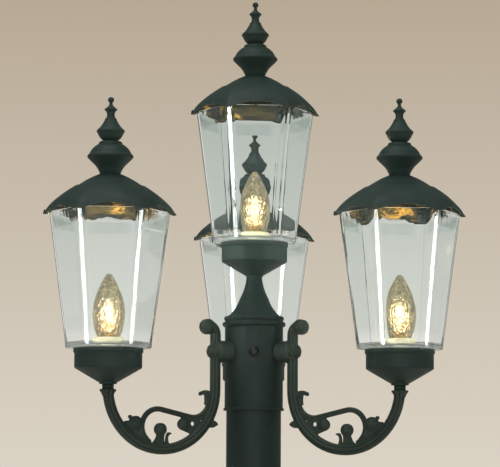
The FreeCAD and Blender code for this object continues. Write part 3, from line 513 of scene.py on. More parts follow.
class Finish(Enum):
    """The finishes of the lamp post, and the record's slot of each."""

    GREEN = ("dark_green_paint", Paint("satin_green_paint"))
    CASTING = ("arm_casting", Paint("green_paint_on_arm_castings", body=(0.0205, 0.0340, 0.0250),
                                    light=(0.039, 0.056, 0.041), roughness=0.46, specular=0.30,
                                    peel_scale=300.0, peel_depth=0.00030, wear=0.55))
    POST = ("post_paint", Paint("green_paint_on_the_post", body=(0.0125, 0.0235, 0.0190),
                                light=(0.0180, 0.0325, 0.0262), roughness=0.48, peel_depth=0.00010))
    SCREW = ("dark_green_paint", Paint("dark_paint_on_the_clamp_screws", body=(0.0050, 0.0090, 0.0080),
                                       light=(0.0080, 0.0140, 0.0120), roughness=0.30, specular=0.55))
    LINING = ("dark_green_paint", Lining())
    STEEL = ("steel", Metal("zinc_plated_steel", (0.62, 0.62, 0.60), (0.46, 0.46, 0.45)))
    BRASS = ("brass", Metal("bulb_brass", (0.80, 0.56, 0.22), (0.60, 0.38, 0.13), 0.24))
    RUBBER = ("rubber", Glazed("gasket_rubber", (0.020, 0.020, 0.020), (0.032, 0.032, 0.030), 0.7))
    PORCELAIN = ("porcelain", Glazed("cream_porcelain", (0.74, 0.65, 0.42), (0.64, 0.58, 0.36)))
    PLASTIC = ("block_plastic", Glazed("terminal_block_plastic", (0.72, 0.72, 0.68), (0.64, 0.64, 0.60), 0.5))
    GLASS = ("lantern_glass", ClearGlass())
    GLASS_FOOT = ("lantern_glass", ClearGlass("pale_foot_of_the_glass", tint=(0.86, 0.90, 0.86),
                                              mirror=(0.06, 0.06, 0.06), clear=0.94, roughness=0.22))
    GLASS_RIM = ("lantern_glass", ClearGlass("soft_rim_of_the_glass", tint=(0.96, 0.98, 0.97),
                                             mirror=(0.0, 0.0, 0.0), ior=1.10))
    CRACKLED = ("bulb_glass", CrackledGlass())
    CORE = ("core", Glow("white_hot_filament", (1.0, 0.72, 0.36), 7.5))
    EMBER = ("core", Glow("amber_glow", (1.0, 0.52, 0.12), 2.2))

    @property
    def slot(self) -> str:
        """The record's material slot."""
        return self.value[0]


class FinishRack:
    """Makes each finish once and hands it out."""

    def __init__(self) -> None:
        """Starts with no finish made."""
        self._made: dict[Finish, bpy.types.Material] = {}

    def get(self, finish: Finish) -> bpy.types.Material:
        """Gives a finish's material.

        Args:
            finish: which one.

        Returns:
            The material.
        """
        if finish not in self._made:
            self._made[finish] = finish.value[1].build()
        return self._made[finish]


# ------------------------------------------------------------------------------ outlines and solids


def outline(rows: Sequence[Row], step: float = 6.0) -> list[Point]:
    """Draws lines and arcs through rows of two places and the sweep of the arc that follows.

    Args:
        rows: the rows; the sweep is in degrees, anticlockwise positive.
        step: the turn between two points of an arc, in degrees.

    Returns:
        The points.
    """
    points: list[Point] = []
    for (x, y, sweep), (far_x, far_y, _) in zip(rows, rows[1:]):
        points.append((x, y))
        if not sweep:
            continue
        half = math.radians(abs(sweep)) / 2
        chord = Vector((far_x - x, far_y - y))
        radius = chord.length / (2 * math.sin(half))
        side = 1 if sweep > 0 else -1
        left = Vector((-chord.y, chord.x)).normalized()
        centre = Vector((x + far_x, y + far_y)) / 2 + left * (side * radius * math.cos(half))
        start = math.atan2(y - centre.y, x - centre.x)
        count = max(2, math.ceil(abs(sweep) / step))
        for i in range(1, count):
            angle = start + math.radians(sweep) * i / count
            points.append((centre.x + radius * math.cos(angle), centre.y + radius * math.sin(angle)))
    points.append((rows[-1][0], rows[-1][1]))
    return points


def rounded(points: Sequence[Point], radius: float, support: float = 1.5) -> list[Point]:
    """Rounds the corners of an outline and keeps its runs straight beside them.

    Args:
        points: the outline.
        radius: how far from a corner its rounding starts.
        support: how far from a corner a holding point lies.

    Returns:
        The rounded outline.
    """
    least_run, least_turn = 1e-6, 18
    made: list[Point] = [points[0]]
    for before, corner, after in zip(points, points[1:], points[2:]):
        here = Vector(corner)
        back, on = Vector(before) - here, Vector(after) - here
        if min(back.length, on.length) < least_run or math.degrees((-back).angle(on)) < least_turn:
            made.append(corner)
            continue
        cut = min(radius, back.length * 0.4, on.length * 0.4)
        first = here + back.normalized() * cut
        last = here + on.normalized() * cut
        if back.length > 3 * (cut + support):
            made.append(tuple(here + back.normalized() * (cut + support)))
        for share in (0.0, 0.33, 0.67, 1.0):
            made.append(tuple(first.lerp(here, share).lerp(here.lerp(last, share), share)))
        if on.length > 3 * (cut + support):
            made.append(tuple(here + on.normalized() * (cut + support)))
    made.append(points[-1])
    return made


def turned(profile: Sequence[Point], steps: int = 96) -> Mesh:
    """Spins an outline of radius and height about the vertical.

    Args:
        profile: the outline in millimetres.
        steps: how many steps the turn has.

    Returns:
        The solid, in metres.
    """
    bm = bmesh.new()
    verts = [bm.verts.new((radius * MM, 0.0, height * MM)) for radius, height in profile]
    for first, second in zip(verts, verts[1:]):
        bm.edges.new((first, second))
    bmesh.ops.spin(bm, geom=bm.verts[:] + bm.edges[:], cent=(0, 0, 0), axis=(0, 0, 1), angle=math.tau,
                   steps=steps, use_merge=True)
    bmesh.ops.remove_doubles(bm, verts=bm.verts, dist=MERGE)
    bmesh.ops.recalc_face_normals(bm, faces=bm.faces)
    return bm


def copied(node: str) -> Mesh:
    """Copies a node of the frame and merges its loose triangles.

    Args:
        node: the node's name.

    Returns:
        The copy.
    """
    bm = bmesh.new()
    bm.from_mesh(frame["nodes"][node].data)
    bmesh.ops.remove_doubles(bm, verts=bm.verts, dist=MERGE)
    return bm


def moved(bm: Mesh, matrix: Matrix) -> Mesh:
    """Moves a whole mesh and gives it back."""
    bmesh.ops.transform(bm, matrix=matrix, verts=bm.verts)
    return bm


def grown(bm: Mesh, ring: Iterable[Vert]) -> list[Vert]:
    """Extrudes a ring of points.

    Args:
        bm: the mesh.
        ring: the points of the ring.

    Returns:
        The points of the new ring, which still lie on those of the old one.
    """
    held = set(ring)
    edges = [edge for edge in bm.edges if edge.verts[0] in held and edge.verts[1] in held]
    made = bmesh.ops.extrude_edge_only(bm, edges=edges)["geom"]
    return [item for item in made if isinstance(item, Vert)]


def joined(meshes: Iterable[Mesh]) -> Mesh:
    """Puts several meshes in one.

    Args:
        meshes: the meshes, which are freed.

    Returns:
        The one mesh.
    """
    whole = bmesh.new()
    for bm in meshes:
        holder = bpy.data.meshes.new("holder")
        bm.to_mesh(holder)
        bm.free()
        whole.from_mesh(holder)
        bpy.data.meshes.remove(holder)
    return whole


class Workshop:
    """Turns meshes into finished pieces of the scene."""

    def __init__(self) -> None:
        """Opens the workshop with an empty rack."""
        self.rack = FinishRack()
        self.count = 0

    def piece(self, name: str, bm: Mesh, finish: Finish, body: str, nodes: Sequence[str] = (),
              crease: float = 32.0, worn: bool = True) -> bpy.types.Object:
        """Makes a piece that rides on a body.

        Args:
            name: the piece's name.
            bm: its mesh, in place, which is freed.
            finish: its finish.
            body: the body that carries it.
            nodes: the nodes it stands for.
            crease: the angle past which an edge stays sharp, in degrees.
            worn: True to mark its edges and recesses.

        Returns:
            The piece.
        """
        mesh = bpy.data.meshes.new(name)
        if worn:
            self._mark_edges(bm)
        bm.to_mesh(mesh)
        bm.free()
        mesh.polygons.foreach_set("use_smooth", [True] * len(mesh.polygons))
        mesh.set_sharp_from_angle(angle=math.radians(crease))
        mesh.materials.append(self.rack.get(finish))
        made = bpy.data.objects.new(name, mesh)
        bpy.context.scene.collection.objects.link(made)
        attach(made, body)
        if nodes:
            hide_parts(*nodes)
        self.count += 1
        LOG.info("%s: %d faces on %s", name, len(mesh.polygons), body)
        return made

    def dress(self, node: str, finish: Finish) -> None:
        """Gives a node of the frame a finish.

        Args:
            node: the node's name.
            finish: the finish.
        """
        held = frame["nodes"][node]
        material = self.rack.get(finish)
        if not held.material_slots:
            held.data.materials.append(material)
        for place in held.material_slots:
            place.material = material
        LOG.info("%s: dressed with %s", node, material.name)

    @staticmethod
    def _mark_edges(bm: Mesh) -> None:
        """Stores how far each point stands on an outer edge, where the paint wears, and how far it lies in a
        hollow, where the paint gets painted shade.

        Args:
            bm: the mesh.
        """
        least, wear_range, recess_shade_range = 11, 26, 30
        wear = bm.verts.layers.float.new("edge_wear")
        hollow_shade = bm.verts.layers.float.new("recess")
        bm.normal_update()
        for vert in bm.verts:
            whole = [edge for edge in vert.link_edges if len(edge.link_faces) == 2]
            if whole:
                turns = [edge.calc_face_angle_signed(0.0) for edge in whole]
                vert[wear] = clamped((math.degrees(max(turns)) - least) / wear_range)
                vert[hollow_shade] = clamped((-math.degrees(min(turns)) - least) / recess_shade_range)


# ------------------------------------------------------------------------------ post and sleeve


@dataclass
class Post:
    """The tube with its foot, the sleeve that carries the arms and the cone on top, in millimetres."""

    shop: Workshop
    tube_radius: float = 44.45
    tube_wall: float = 4.0
    tube_rows: int = 24
    foot_thick: float = 16.0
    sleeve_low: float = 1578.0
    sleeve_top: float = 1722.0
    sleeve_radius: float = 47.35
    sleeve_slip: float = 0.2
    low_bead_radius: float = 49.1
    low_bead_tall: float = 4.0
    top_bead_radius: float = 51.75
    top_bead_tall: float = 7.6
    skirt_radius: float = 47.0
    skirt_tall: float = 9.0
    spigot_radius: float = 30.0
    cone_top: float = 1795.5
    cone_bore: float = 7.2
    clamp_level: float = 1672.0
    clamp_turns: tuple[float, ...] = (270.0, 30.0, 150.0)
    screw_radius: float = 8.4
    screw_tall: float = 6.4
    screw_sunk: float = 0.8
    screw_skirt: float = 1.4
    shank_radius: float = 3.5
    shank_deep: float = 9.0
    socket_deep: float = 2.6
    steps: int = 128

    def make(self) -> None:
        """Builds and dresses every piece of the post."""
        self._tube()
        self._sleeve()
        self._cone()
        self.shop.piece("foot_casting", copied("post_foot"), Finish.POST, "post", ("post_foot",), 28)
        self._clamp_screws()
        self.shop.dress("foot_screws", Finish.STEEL)
        self.shop.dress("terminal_bracket", Finish.STEEL)
        self.shop.dress("terminal_block", Finish.PLASTIC)

    def _clamp_screws(self) -> None:
        """Makes the three domed clamp screws with their sockets."""
        wide, tall, skirt = self.screw_radius, self.screw_tall, self.screw_radius + self.screw_skirt
        shank, end, socket = self.shank_radius, -self.shank_deep, tall - self.socket_deep
        rows = [(0.0, end, 0), (shank, end, 0), (shank, 0.0, 0), (skirt, 0.0, 0), (skirt, 1.3, 0),
                (wide - 0.6, 1.9, 52), (3.4, tall, 0), (2.6, tall, 0), (2.4, socket, 0),
                (0.0, socket - 0.2, 0)]
        spot = Vector((self.sleeve_radius - self.screw_sunk, 0.0, self.clamp_level)) * MM
        face = Matrix.Translation(spot) @ Matrix.Rotation(math.radians(90), 4, "Y")
        screws = joined(moved(turned(rounded(outline(rows, 8), 0.3, 0.6), 40), about_z(turn) @ face)
                        for turn in self.clamp_turns)
        self.shop.piece("clamp_screw_domes", screws, Finish.SCREW, "post", ("sleeve_screws",), worn=False)

    def _tube(self) -> None:
        """Makes the round tube."""
        inner = self.tube_radius - self.tube_wall
        low, top, count = self.foot_thick, self.sleeve_top - 2, self.tube_rows
        outer = [(self.tube_radius, low + (top - low) * i / count) for i in range(count + 1)]
        tube = turned([(inner, top), (inner, low), *outer, (inner, top)], self.steps)
        self.shop.piece("round_post_tube", tube, Finish.POST, "post", ("post_tube",))

    def _sleeve(self) -> None:
        """Makes the sleeve with its two beads."""
        inner, low, top = self.tube_radius + self.sleeve_slip, self.sleeve_low, self.sleeve_top
        low_bead, low_end = self.low_bead_radius - 0.6, low + self.low_bead_tall
        top_bead, top_end = self.top_bead_radius - 2.4, top - self.top_bead_tall
        rows = [(inner, top, 0), (inner, low, 0), (low_bead, low, 100), (low_bead, low_end, 0),
                (self.sleeve_radius, low_end + 0.6, 0), (self.sleeve_radius, top_end - 0.6, 0),
                (top_bead, top_end, 118), (top_bead, top, 0), (inner, top, 0)]
        sleeve = turned(rounded(outline(rows, 14), 0.5), self.steps)
        self.shop.piece("beaded_sleeve", sleeve, Finish.POST, "post", ("sleeve",))

    def _cone(self) -> None:
        """Makes the flared cone over the sleeve."""
        base, skirt, spigot, bore = self.sleeve_top, self.skirt_radius, self.spigot_radius, self.cone_bore
        shoulder, tip = base + self.skirt_tall, self.cone_top
        rows = [(spigot, base, 0), (skirt, base, 0), (skirt, base + 2, 110), (skirt, shoulder, 0),
                (43.25, shoulder, -34), (23.5, base + 38.2, -24), (12.5, tip, 0), (bore, tip, 0),
                (bore, base + 40, 0), (spigot, base + 4, 0), (spigot, base, 0)]
        cone = turned(rounded(outline(rows, 6), 0.5), self.steps)
        self.shop.piece("flared_cone", cone, Finish.POST, "post", ("top_cone",))


class Head(Enum):
    """The four lanterns: each one's word, its direction in degrees, its reach and its foot's level."""

    TOP = ("top", 90.0, 0.0, 1795.5)
    LEFT = ("left", 210.0, HEAD_REACH, 1614.5)
    RIGHT = ("right", 330.0, HEAD_REACH, 1614.5)
    BACK = ("back", 90.0, HEAD_REACH, 1614.5)

    @property
    def word(self) -> str:
        """The lantern's word in names."""
        return self.value[0]

    @property
    def turn(self) -> float:
        """Its direction from the post, in degrees."""
        return self.value[1]

    @property
    def on_arm(self) -> bool:
        """True if an arm carries it."""
        return self.value[2] > 0.0

    @property
    def roof_body(self) -> str:
        """The body of its roof."""
        return f"roof_{self.word}_unit"

    @property
    def bulb_body(self) -> str:
        """The body of its bulb."""
        return f"bulb_{self.word}_unit"

    def seat(self, twist: float = HEAD_TWIST) -> Matrix:
        """Gives the place of a lantern's parts.

        Args:
            twist: the lantern's turn on its nipple, in degrees.

        Returns:
            The place, with +X to a corner of the glass.
        """
        _, turn, reach, level = self.value
        angle = math.radians(turn)
        spot = Vector((reach * math.cos(angle), reach * math.sin(angle), level)) * MM
        return Matrix.Translation(spot) @ about_z(turn + twist - 30)


# ------------------------------------------------------------------------------ scroll arms


@dataclass
class ScrollArms:
    """The three scroll castings, in millimetres along the arm's own plane."""

    shop: Workshop
    stem_reach: float = 72.0
    bend_level: float = 1610.0
    stem_top: float = 1699.0
    curl_radius: float = 15.0
    boss_level: float = 1672.0
    boss_half: float = 11.5
    boss_end: float = 88.0
    bar_half: float = 8.25
    band_half: float = 4.3
    web_reach: Point = (85.0, 250.0)
    web_top: float = 1612.0
    voxel: float = 0.85
    skin: float = 2.0
    skin_fade: float = 2.5
    flute_depth: float = 2.3
    flute_aside: float = 3.3
    flute_wide: float = 1.3
    groove_depth: float = 1.5
    groove_wide: float = 1.2
    rib_depth: float = 1.1
    button_groove: float = 0.9
    low_arc: Row = (112.0, 1594.0, 29.0)
    high_arc: Row = (176.0, 1549.0, 28.3)
    high_arc_start: float = -62.0
    buttons: tuple[tuple[float, float, float, float], ...] = (
        (87.0, 1711.5, 12.5, 8.5), (130.7, 1553.7, 8.9, 6.0), (171.3, 1545.0, 10.3, 6.0),
        (215.7, 1555.0, 10.7, 6.0))

    def make(self) -> None:
        """Builds one casting and sets three copies of it in place."""
        casting = self._casting()
        for head in Head:
            if head.on_arm:
                bm = bmesh.new()
                bm.from_mesh(casting)
                moved(bm, about_z(head.turn))
                self.shop.piece(f"scroll_casting_{head.word}", bm, Finish.CASTING, "post",
                                (f"arm_{head.word}",), 70)
        bpy.data.meshes.remove(casting)
        self.shop.piece("arm_bolt_domes", copied("arm_bolts"), Finish.CASTING, "post", ("arm_bolts",), 28)
        self.shop.dress("arm_nuts", Finish.STEEL)

    def _casting(self) -> bpy.types.Mesh:
        """Melts the arm's parts into one casting and carves its flutes.

        Returns:
            The casting, with the arm's plane along +X.
        """
        rough = bpy.data.meshes.new("rough_casting")
        whole = joined([moved(copied("arm_right"), about_z(-Head.RIGHT.turn)), *self._domes()])
        whole.to_mesh(rough)
        whole.free()
        lump = bpy.data.objects.new("rough_casting", rough)
        bpy.context.scene.collection.objects.link(lump)
        melt = lump.modifiers.new("melt", "REMESH")
        melt.mode = "VOXEL"
        melt.voxel_size = self.voxel * MM
        melt.adaptivity = 0.0
        bm = bmesh.new()
        bm.from_object(lump, bpy.context.evaluated_depsgraph_get())
        bpy.data.objects.remove(lump)
        bpy.data.meshes.remove(rough)
        for _ in range(3):
            self._smooth(bm, 0.5)
        for vert in bm.verts:
            vert.co.y += self._carving(vert.co.x / MM, vert.co.y / MM, vert.co.z / MM) * MM
        self._smooth(bm, 0.35)
        made = bpy.data.meshes.new("casting")
        bm.to_mesh(made)
        bm.free()
        return made

    @staticmethod
    def _smooth(bm: Mesh, factor: float) -> None:
        """Smooths a mesh once by a share."""
        bmesh.ops.smooth_vert(bm, verts=bm.verts, factor=factor,
                              use_axis_x=True, use_axis_y=True, use_axis_z=True)

    def _domes(self) -> list[Mesh]:
        """Makes the domes on both faces of the buttons.

        Returns:
            The domes, in the arm's own plane.
        """
        flat = Matrix.Diagonal((1.0, 0.42, 1.0, 1.0))
        parts = []
        for x, z, radius, half in self.buttons:
            for side in (-1, 1):
                dome = bmesh.new()
                bmesh.ops.create_uvsphere(dome, u_segments=24, v_segments=12, radius=radius * 0.62 * MM)
                spot = Vector((x, side * (half - 0.6), z)) * MM
                parts.append(moved(dome, Matrix.Translation(spot) @ flat))
        return parts

    def _bar_offset(self, x: float, z: float) -> float:
        """Measures from the middle line of the bar, in the arm's plane.

        Args:
            x: the point's reach from the post axis.
            z: its height.

        Returns:
            How far the point lies outside the line.
        """
        middle = (HEAD_REACH + self.stem_reach) / 2
        if z < self.bend_level:
            return math.hypot(x - middle, z - self.bend_level) - (HEAD_REACH - self.stem_reach) / 2
        if x > middle:
            return x - HEAD_REACH
        if z < self.stem_top:
            return self.stem_reach - x
        return math.hypot(x - self.stem_reach - self.curl_radius, z - self.stem_top) - self.curl_radius

    def _band_offset(self, x: float, z: float) -> float:
        """Measures from the middle line of the S band, which is two arcs and the straight run between them.

        Args:
            x: the point's reach from the post axis.
            z: its height.

        Returns:
            How far the point lies from the line.
        """
        lx, lz, low_radius = self.low_arc
        hx, hz, high_radius = self.high_arc
        here, start, stop = Vector((x, z)), Vector((lx, lz)), Vector((hx, hz))
        lean = math.atan2(hz - lz, hx - lx) + math.asin((low_radius + high_radius) / (stop - start).length)
        across = Vector((math.sin(lean), -math.cos(lean)))
        best = math.inf
        angle = math.atan2(z - lz, x - lx)
        if angle < lean - math.pi / 2 or angle > math.pi - 0.15:
            best = (here - start).length - low_radius
        angle = math.atan2(z - hz, x - hx)
        if math.radians(self.high_arc_start) < angle < lean + math.pi / 2:
            best = min(best, (here - stop).length - high_radius, key=abs)
        start += across * low_radius
        run = stop - across * high_radius - start
        along = (here - start).dot(run) / run.length_squared
        if 0 < along < 1:
            best = min(best, (here - start - run * along).length, key=abs)
        return best

    def _carving(self, x: float, y: float, z: float) -> float:
        """Gives how far a point of the casting moves across the arm's plane.

        Args:
            x: the point's reach from the post axis.
            y: its place across the arm.
            z: its height.

        Returns:
            The move, in millimetres.
        """
        if abs(y) < self.skin or x < self.stem_reach - 12:
            return 0.0
        side = 1.0 if y > 0 else -1.0
        share = min(1.0, (abs(y) - self.skin) / self.skin_fade)
        for button_x, button_z, radius, _ in self.buttons:
            away = math.hypot(x - button_x, z - button_z)
            if away < radius + 1.0:
                return -side * share * self.button_groove * math.exp(-(away - radius * 0.70) ** 2)
        depth = 0.0
        bar, band = self._bar_offset(x, z), self._band_offset(x, z)
        on_boss = self.stem_reach - 12 < x < self.boss_end and abs(z - self.boss_level) < self.boss_half
        if abs(bar) < self.bar_half and not on_boss:
            depth = self.flute_depth * math.exp(-((abs(bar) - self.flute_aside) / self.flute_wide) ** 2)
        elif abs(band) < self.band_half + 1.0:
            depth = self.groove_depth * math.exp(-(band / self.groove_wide) ** 2)
        elif self.web_reach[0] < x < self.web_reach[1] and z < self.web_top:
            stir = noise.noise(Vector((x * 0.09, 3.0 * side, z * 0.09)))
            depth = self.rib_depth * (0.5 + 0.5 * math.sin(x * 0.9 + z * 0.55 + 2.2 * stir))
        return -side * share * depth


# ------------------------------------------------------------------------------ lanterns


@dataclass
class RoofShape:
    """The domed roof: six sides that grow into a round dome, in millimetres over the lantern's foot.

    At each of the levels, as a share of the rise, the shares say how far the roof has come in from
    the rim's radius to the dome's, and the bulges how round its sides are.
    """

    rim: float = 268.0
    rim_radius: float = 106.0
    dome_radius: float = 60.0
    rise: float = 43.0
    dome_rise: float = 22.0
    wall: float = 3.0
    neck: float = 16.5
    scallop_half: float = 44.0
    scallop_rise: float = 9.5
    lip: float = 1.3
    lip_tall: float = 2.2
    lug_in: float = 84.0
    lug_out: float = 97.0
    lug_wide: float = 8.0
    lug_low: float = 272.2
    lug_taper: float = 5.5
    shares: tuple[float, ...] = (0.0, 0.105, 0.27, 0.515, 0.79, 1.0)
    levels: tuple[float, ...] = (0.0, 0.21, 0.42, 0.65, 0.86, 1.0)
    bulges: tuple[float, ...] = (0.030, 0.045, 0.070, 0.100, 0.122, 0.1339746)
    around: int = 120
    rows: int = 22

    def _along(self, values: Sequence[float], level: float) -> float:
        """Reads a smooth curve through values at the roof's levels.

        Args:
            values: the values.
            level: where the curve is read.

        Returns:
            The curve's value.
        """
        levels = self.levels
        last = len(levels) - 1
        i = next((k - 1 for k in range(1, last) if level <= levels[k]), last - 1)

        def slope(k: int) -> float:
            """Gives the curve's slope at a level."""
            low, high = max(0, k - 1), min(last, k + 1)
            return (values[high] - values[low]) / (levels[high] - levels[low])

        span = levels[i + 1] - levels[i]
        t = (level - levels[i]) / span
        return ((2 * t**3 - 3 * t**2 + 1) * values[i] + (t**3 - 2 * t**2 + t) * span * slope(i)
                + (3 * t**2 - 2 * t**3) * values[i + 1] + (t**3 - t**2) * span * slope(i + 1))

    def radius(self, level: float, angle: float, inset: float = 0.0) -> float:
        """Gives the roof's radius.

        Args:
            level: the height over the rim as a share of the rise.
            angle: the direction, in radians from a corner.
            inset: how far inside the outer face.

        Returns:
            The radius in millimetres.
        """
        inward = (self.rim_radius - self.dome_radius) * self._along(self.shares, level)
        across = self.rim_radius - inward - inset
        off = off_side(angle)
        half = across / 2
        sag = self._along(self.bulges, level) * across
        bend = (half * half + sag * sag) / (2 * sag)
        middle = across * math.cos(HALF_SIDE) + sag - bend
        return middle * math.cos(off) + math.sqrt(max(0.0, bend * bend - (middle * math.sin(off)) ** 2))

    def edge(self, angle: float, inset: float = 0.0) -> float:
        """Gives the height of the scalloped edge at an angle, as a share of the rise."""
        aside = self.radius(0.0, angle, inset) * math.sin(off_side(angle))
        return max(0.0, self.scallop_rise * (1 - (aside / self.scallop_half) ** 2)) / self.rise

    def skin(self, inset: float) -> Mesh:
        """Makes one face of the roof's wall, from the scalloped edge to the dome's foot.

        Args:
            inset: how far inside the outer face.

        Returns:
            The open skin.
        """
        bm = bmesh.new()
        rings = [bmesh.ops.create_circle(bm, cap_ends=False, segments=self.around, radius=1.0)["verts"]]
        for _ in range(self.rows):
            rings.append(grown(bm, rings[-1]))
        for i, ring in enumerate(rings):
            share = (i / self.rows) ** 1.25
            for vert in ring:
                angle = math.atan2(vert.co.y, vert.co.x)
                low = self.edge(angle, inset)
                level = low + (1 - low) * share
                reach = self.radius(level, angle, inset * (1.13 + 0.72 * level))
                if inset == 0.0:
                    reach -= self.lip * clamped(((level - low) * self.rise - self.lip_tall) / 2.0)
                place = (reach * math.cos(angle), reach * math.sin(angle), self.rim + level * self.rise)
                vert.co = Vector(place) * MM
        return bm

    def shell(self) -> Mesh:
        """Makes the roof's wall, closed at the scalloped edge and where the dome stands on it.

        Returns:
            The wall.
        """
        outer, inner = self.skin(0.0), self.skin(self.wall)
        bmesh.ops.reverse_faces(inner, faces=inner.faces)
        for face in inner.faces:
            face.material_index = 1
        made = joined([outer, inner])
        half_way = (self.rim + self.rise * 0.5) * MM
        bmesh.ops.bridge_loops(made, edges=[
            edge for edge in made.edges
            if edge.is_boundary and (edge.verts[0].co.z + edge.verts[1].co.z) / 2 < half_way])
        bmesh.ops.bridge_loops(made, edges=[edge for edge in made.edges if edge.is_boundary])
        bmesh.ops.recalc_face_normals(made, faces=made.faces)
        return made

    def dome(self) -> Mesh:
        """Makes the round dome over the wall, with the well for the finial's stud.

        Returns:
            The dome.
        """
        wide, foot = self.dome_radius, self.rim + self.rise
        top = foot + self.dome_rise
        rows = [(wide - 2.6, foot - 1.2, 0), (wide - 1.4, foot - 0.2, 0), (wide - 2.4, foot + 1.0, -34),
                (wide - 10.5, foot + self.dome_rise * 0.18, 14), (self.neck + 1.0, top - 0.6, 0),
                (self.neck, top, 0), (4.0, top, 0), (4.0, top - 14, 0), (14.0, top - 14, 0),
                (26.0, top - 12, 0), (wide - 14, foot - 1.0, 0), (wide - 7.5, foot - 4.0, 0),
                (wide - 2.6, foot - 1.2, 0)]
        made = turned(rounded(outline(rows, 5), 0.8), self.around)
        for face in made.faces:
            if face.calc_center_median().z < (foot - 2.0) * MM or face.normal.z < -0.2:
                face.material_index = 1
        return made

    def lugs(self) -> list[Mesh]:
        """Makes the six lugs inside the corners, which rest on the glass.

        Returns:
            The lugs.
        """
        low, high = self.lug_low, self.rim + self.rise * 0.38
        made = []
        for i in range(6):
            lug = bmesh.new()
            bmesh.ops.create_cube(lug, size=1.0)
            for vert in lug.verts:
                top = vert.co.z > 0
                reach = (self.lug_out - self.lug_taper * top) if vert.co.x > 0 else (self.lug_in + top)
                vert.co = Vector((reach, vert.co.y * self.lug_wide, high if top else low)) * MM
            bmesh.ops.bevel(lug, geom=lug.edges[:], offset=0.6 * MM, offset_type="OFFSET", segments=2,
                            profile=0.5, affect="EDGES", clamp_overlap=True, material=-1)
            made.append(moved(lug, about_z(60 * i)))
        return made

    def solid(self) -> Mesh:
        """Puts the whole roof together."""
        return joined([self.shell(), self.dome(), *self.lugs()])


@dataclass(frozen=True)
class Ring:
    """One ring of the glass: its height, the radius to its sharp corner, its facet and if it is round."""

    height: float
    corner: float
    facet: float
    round: bool = False


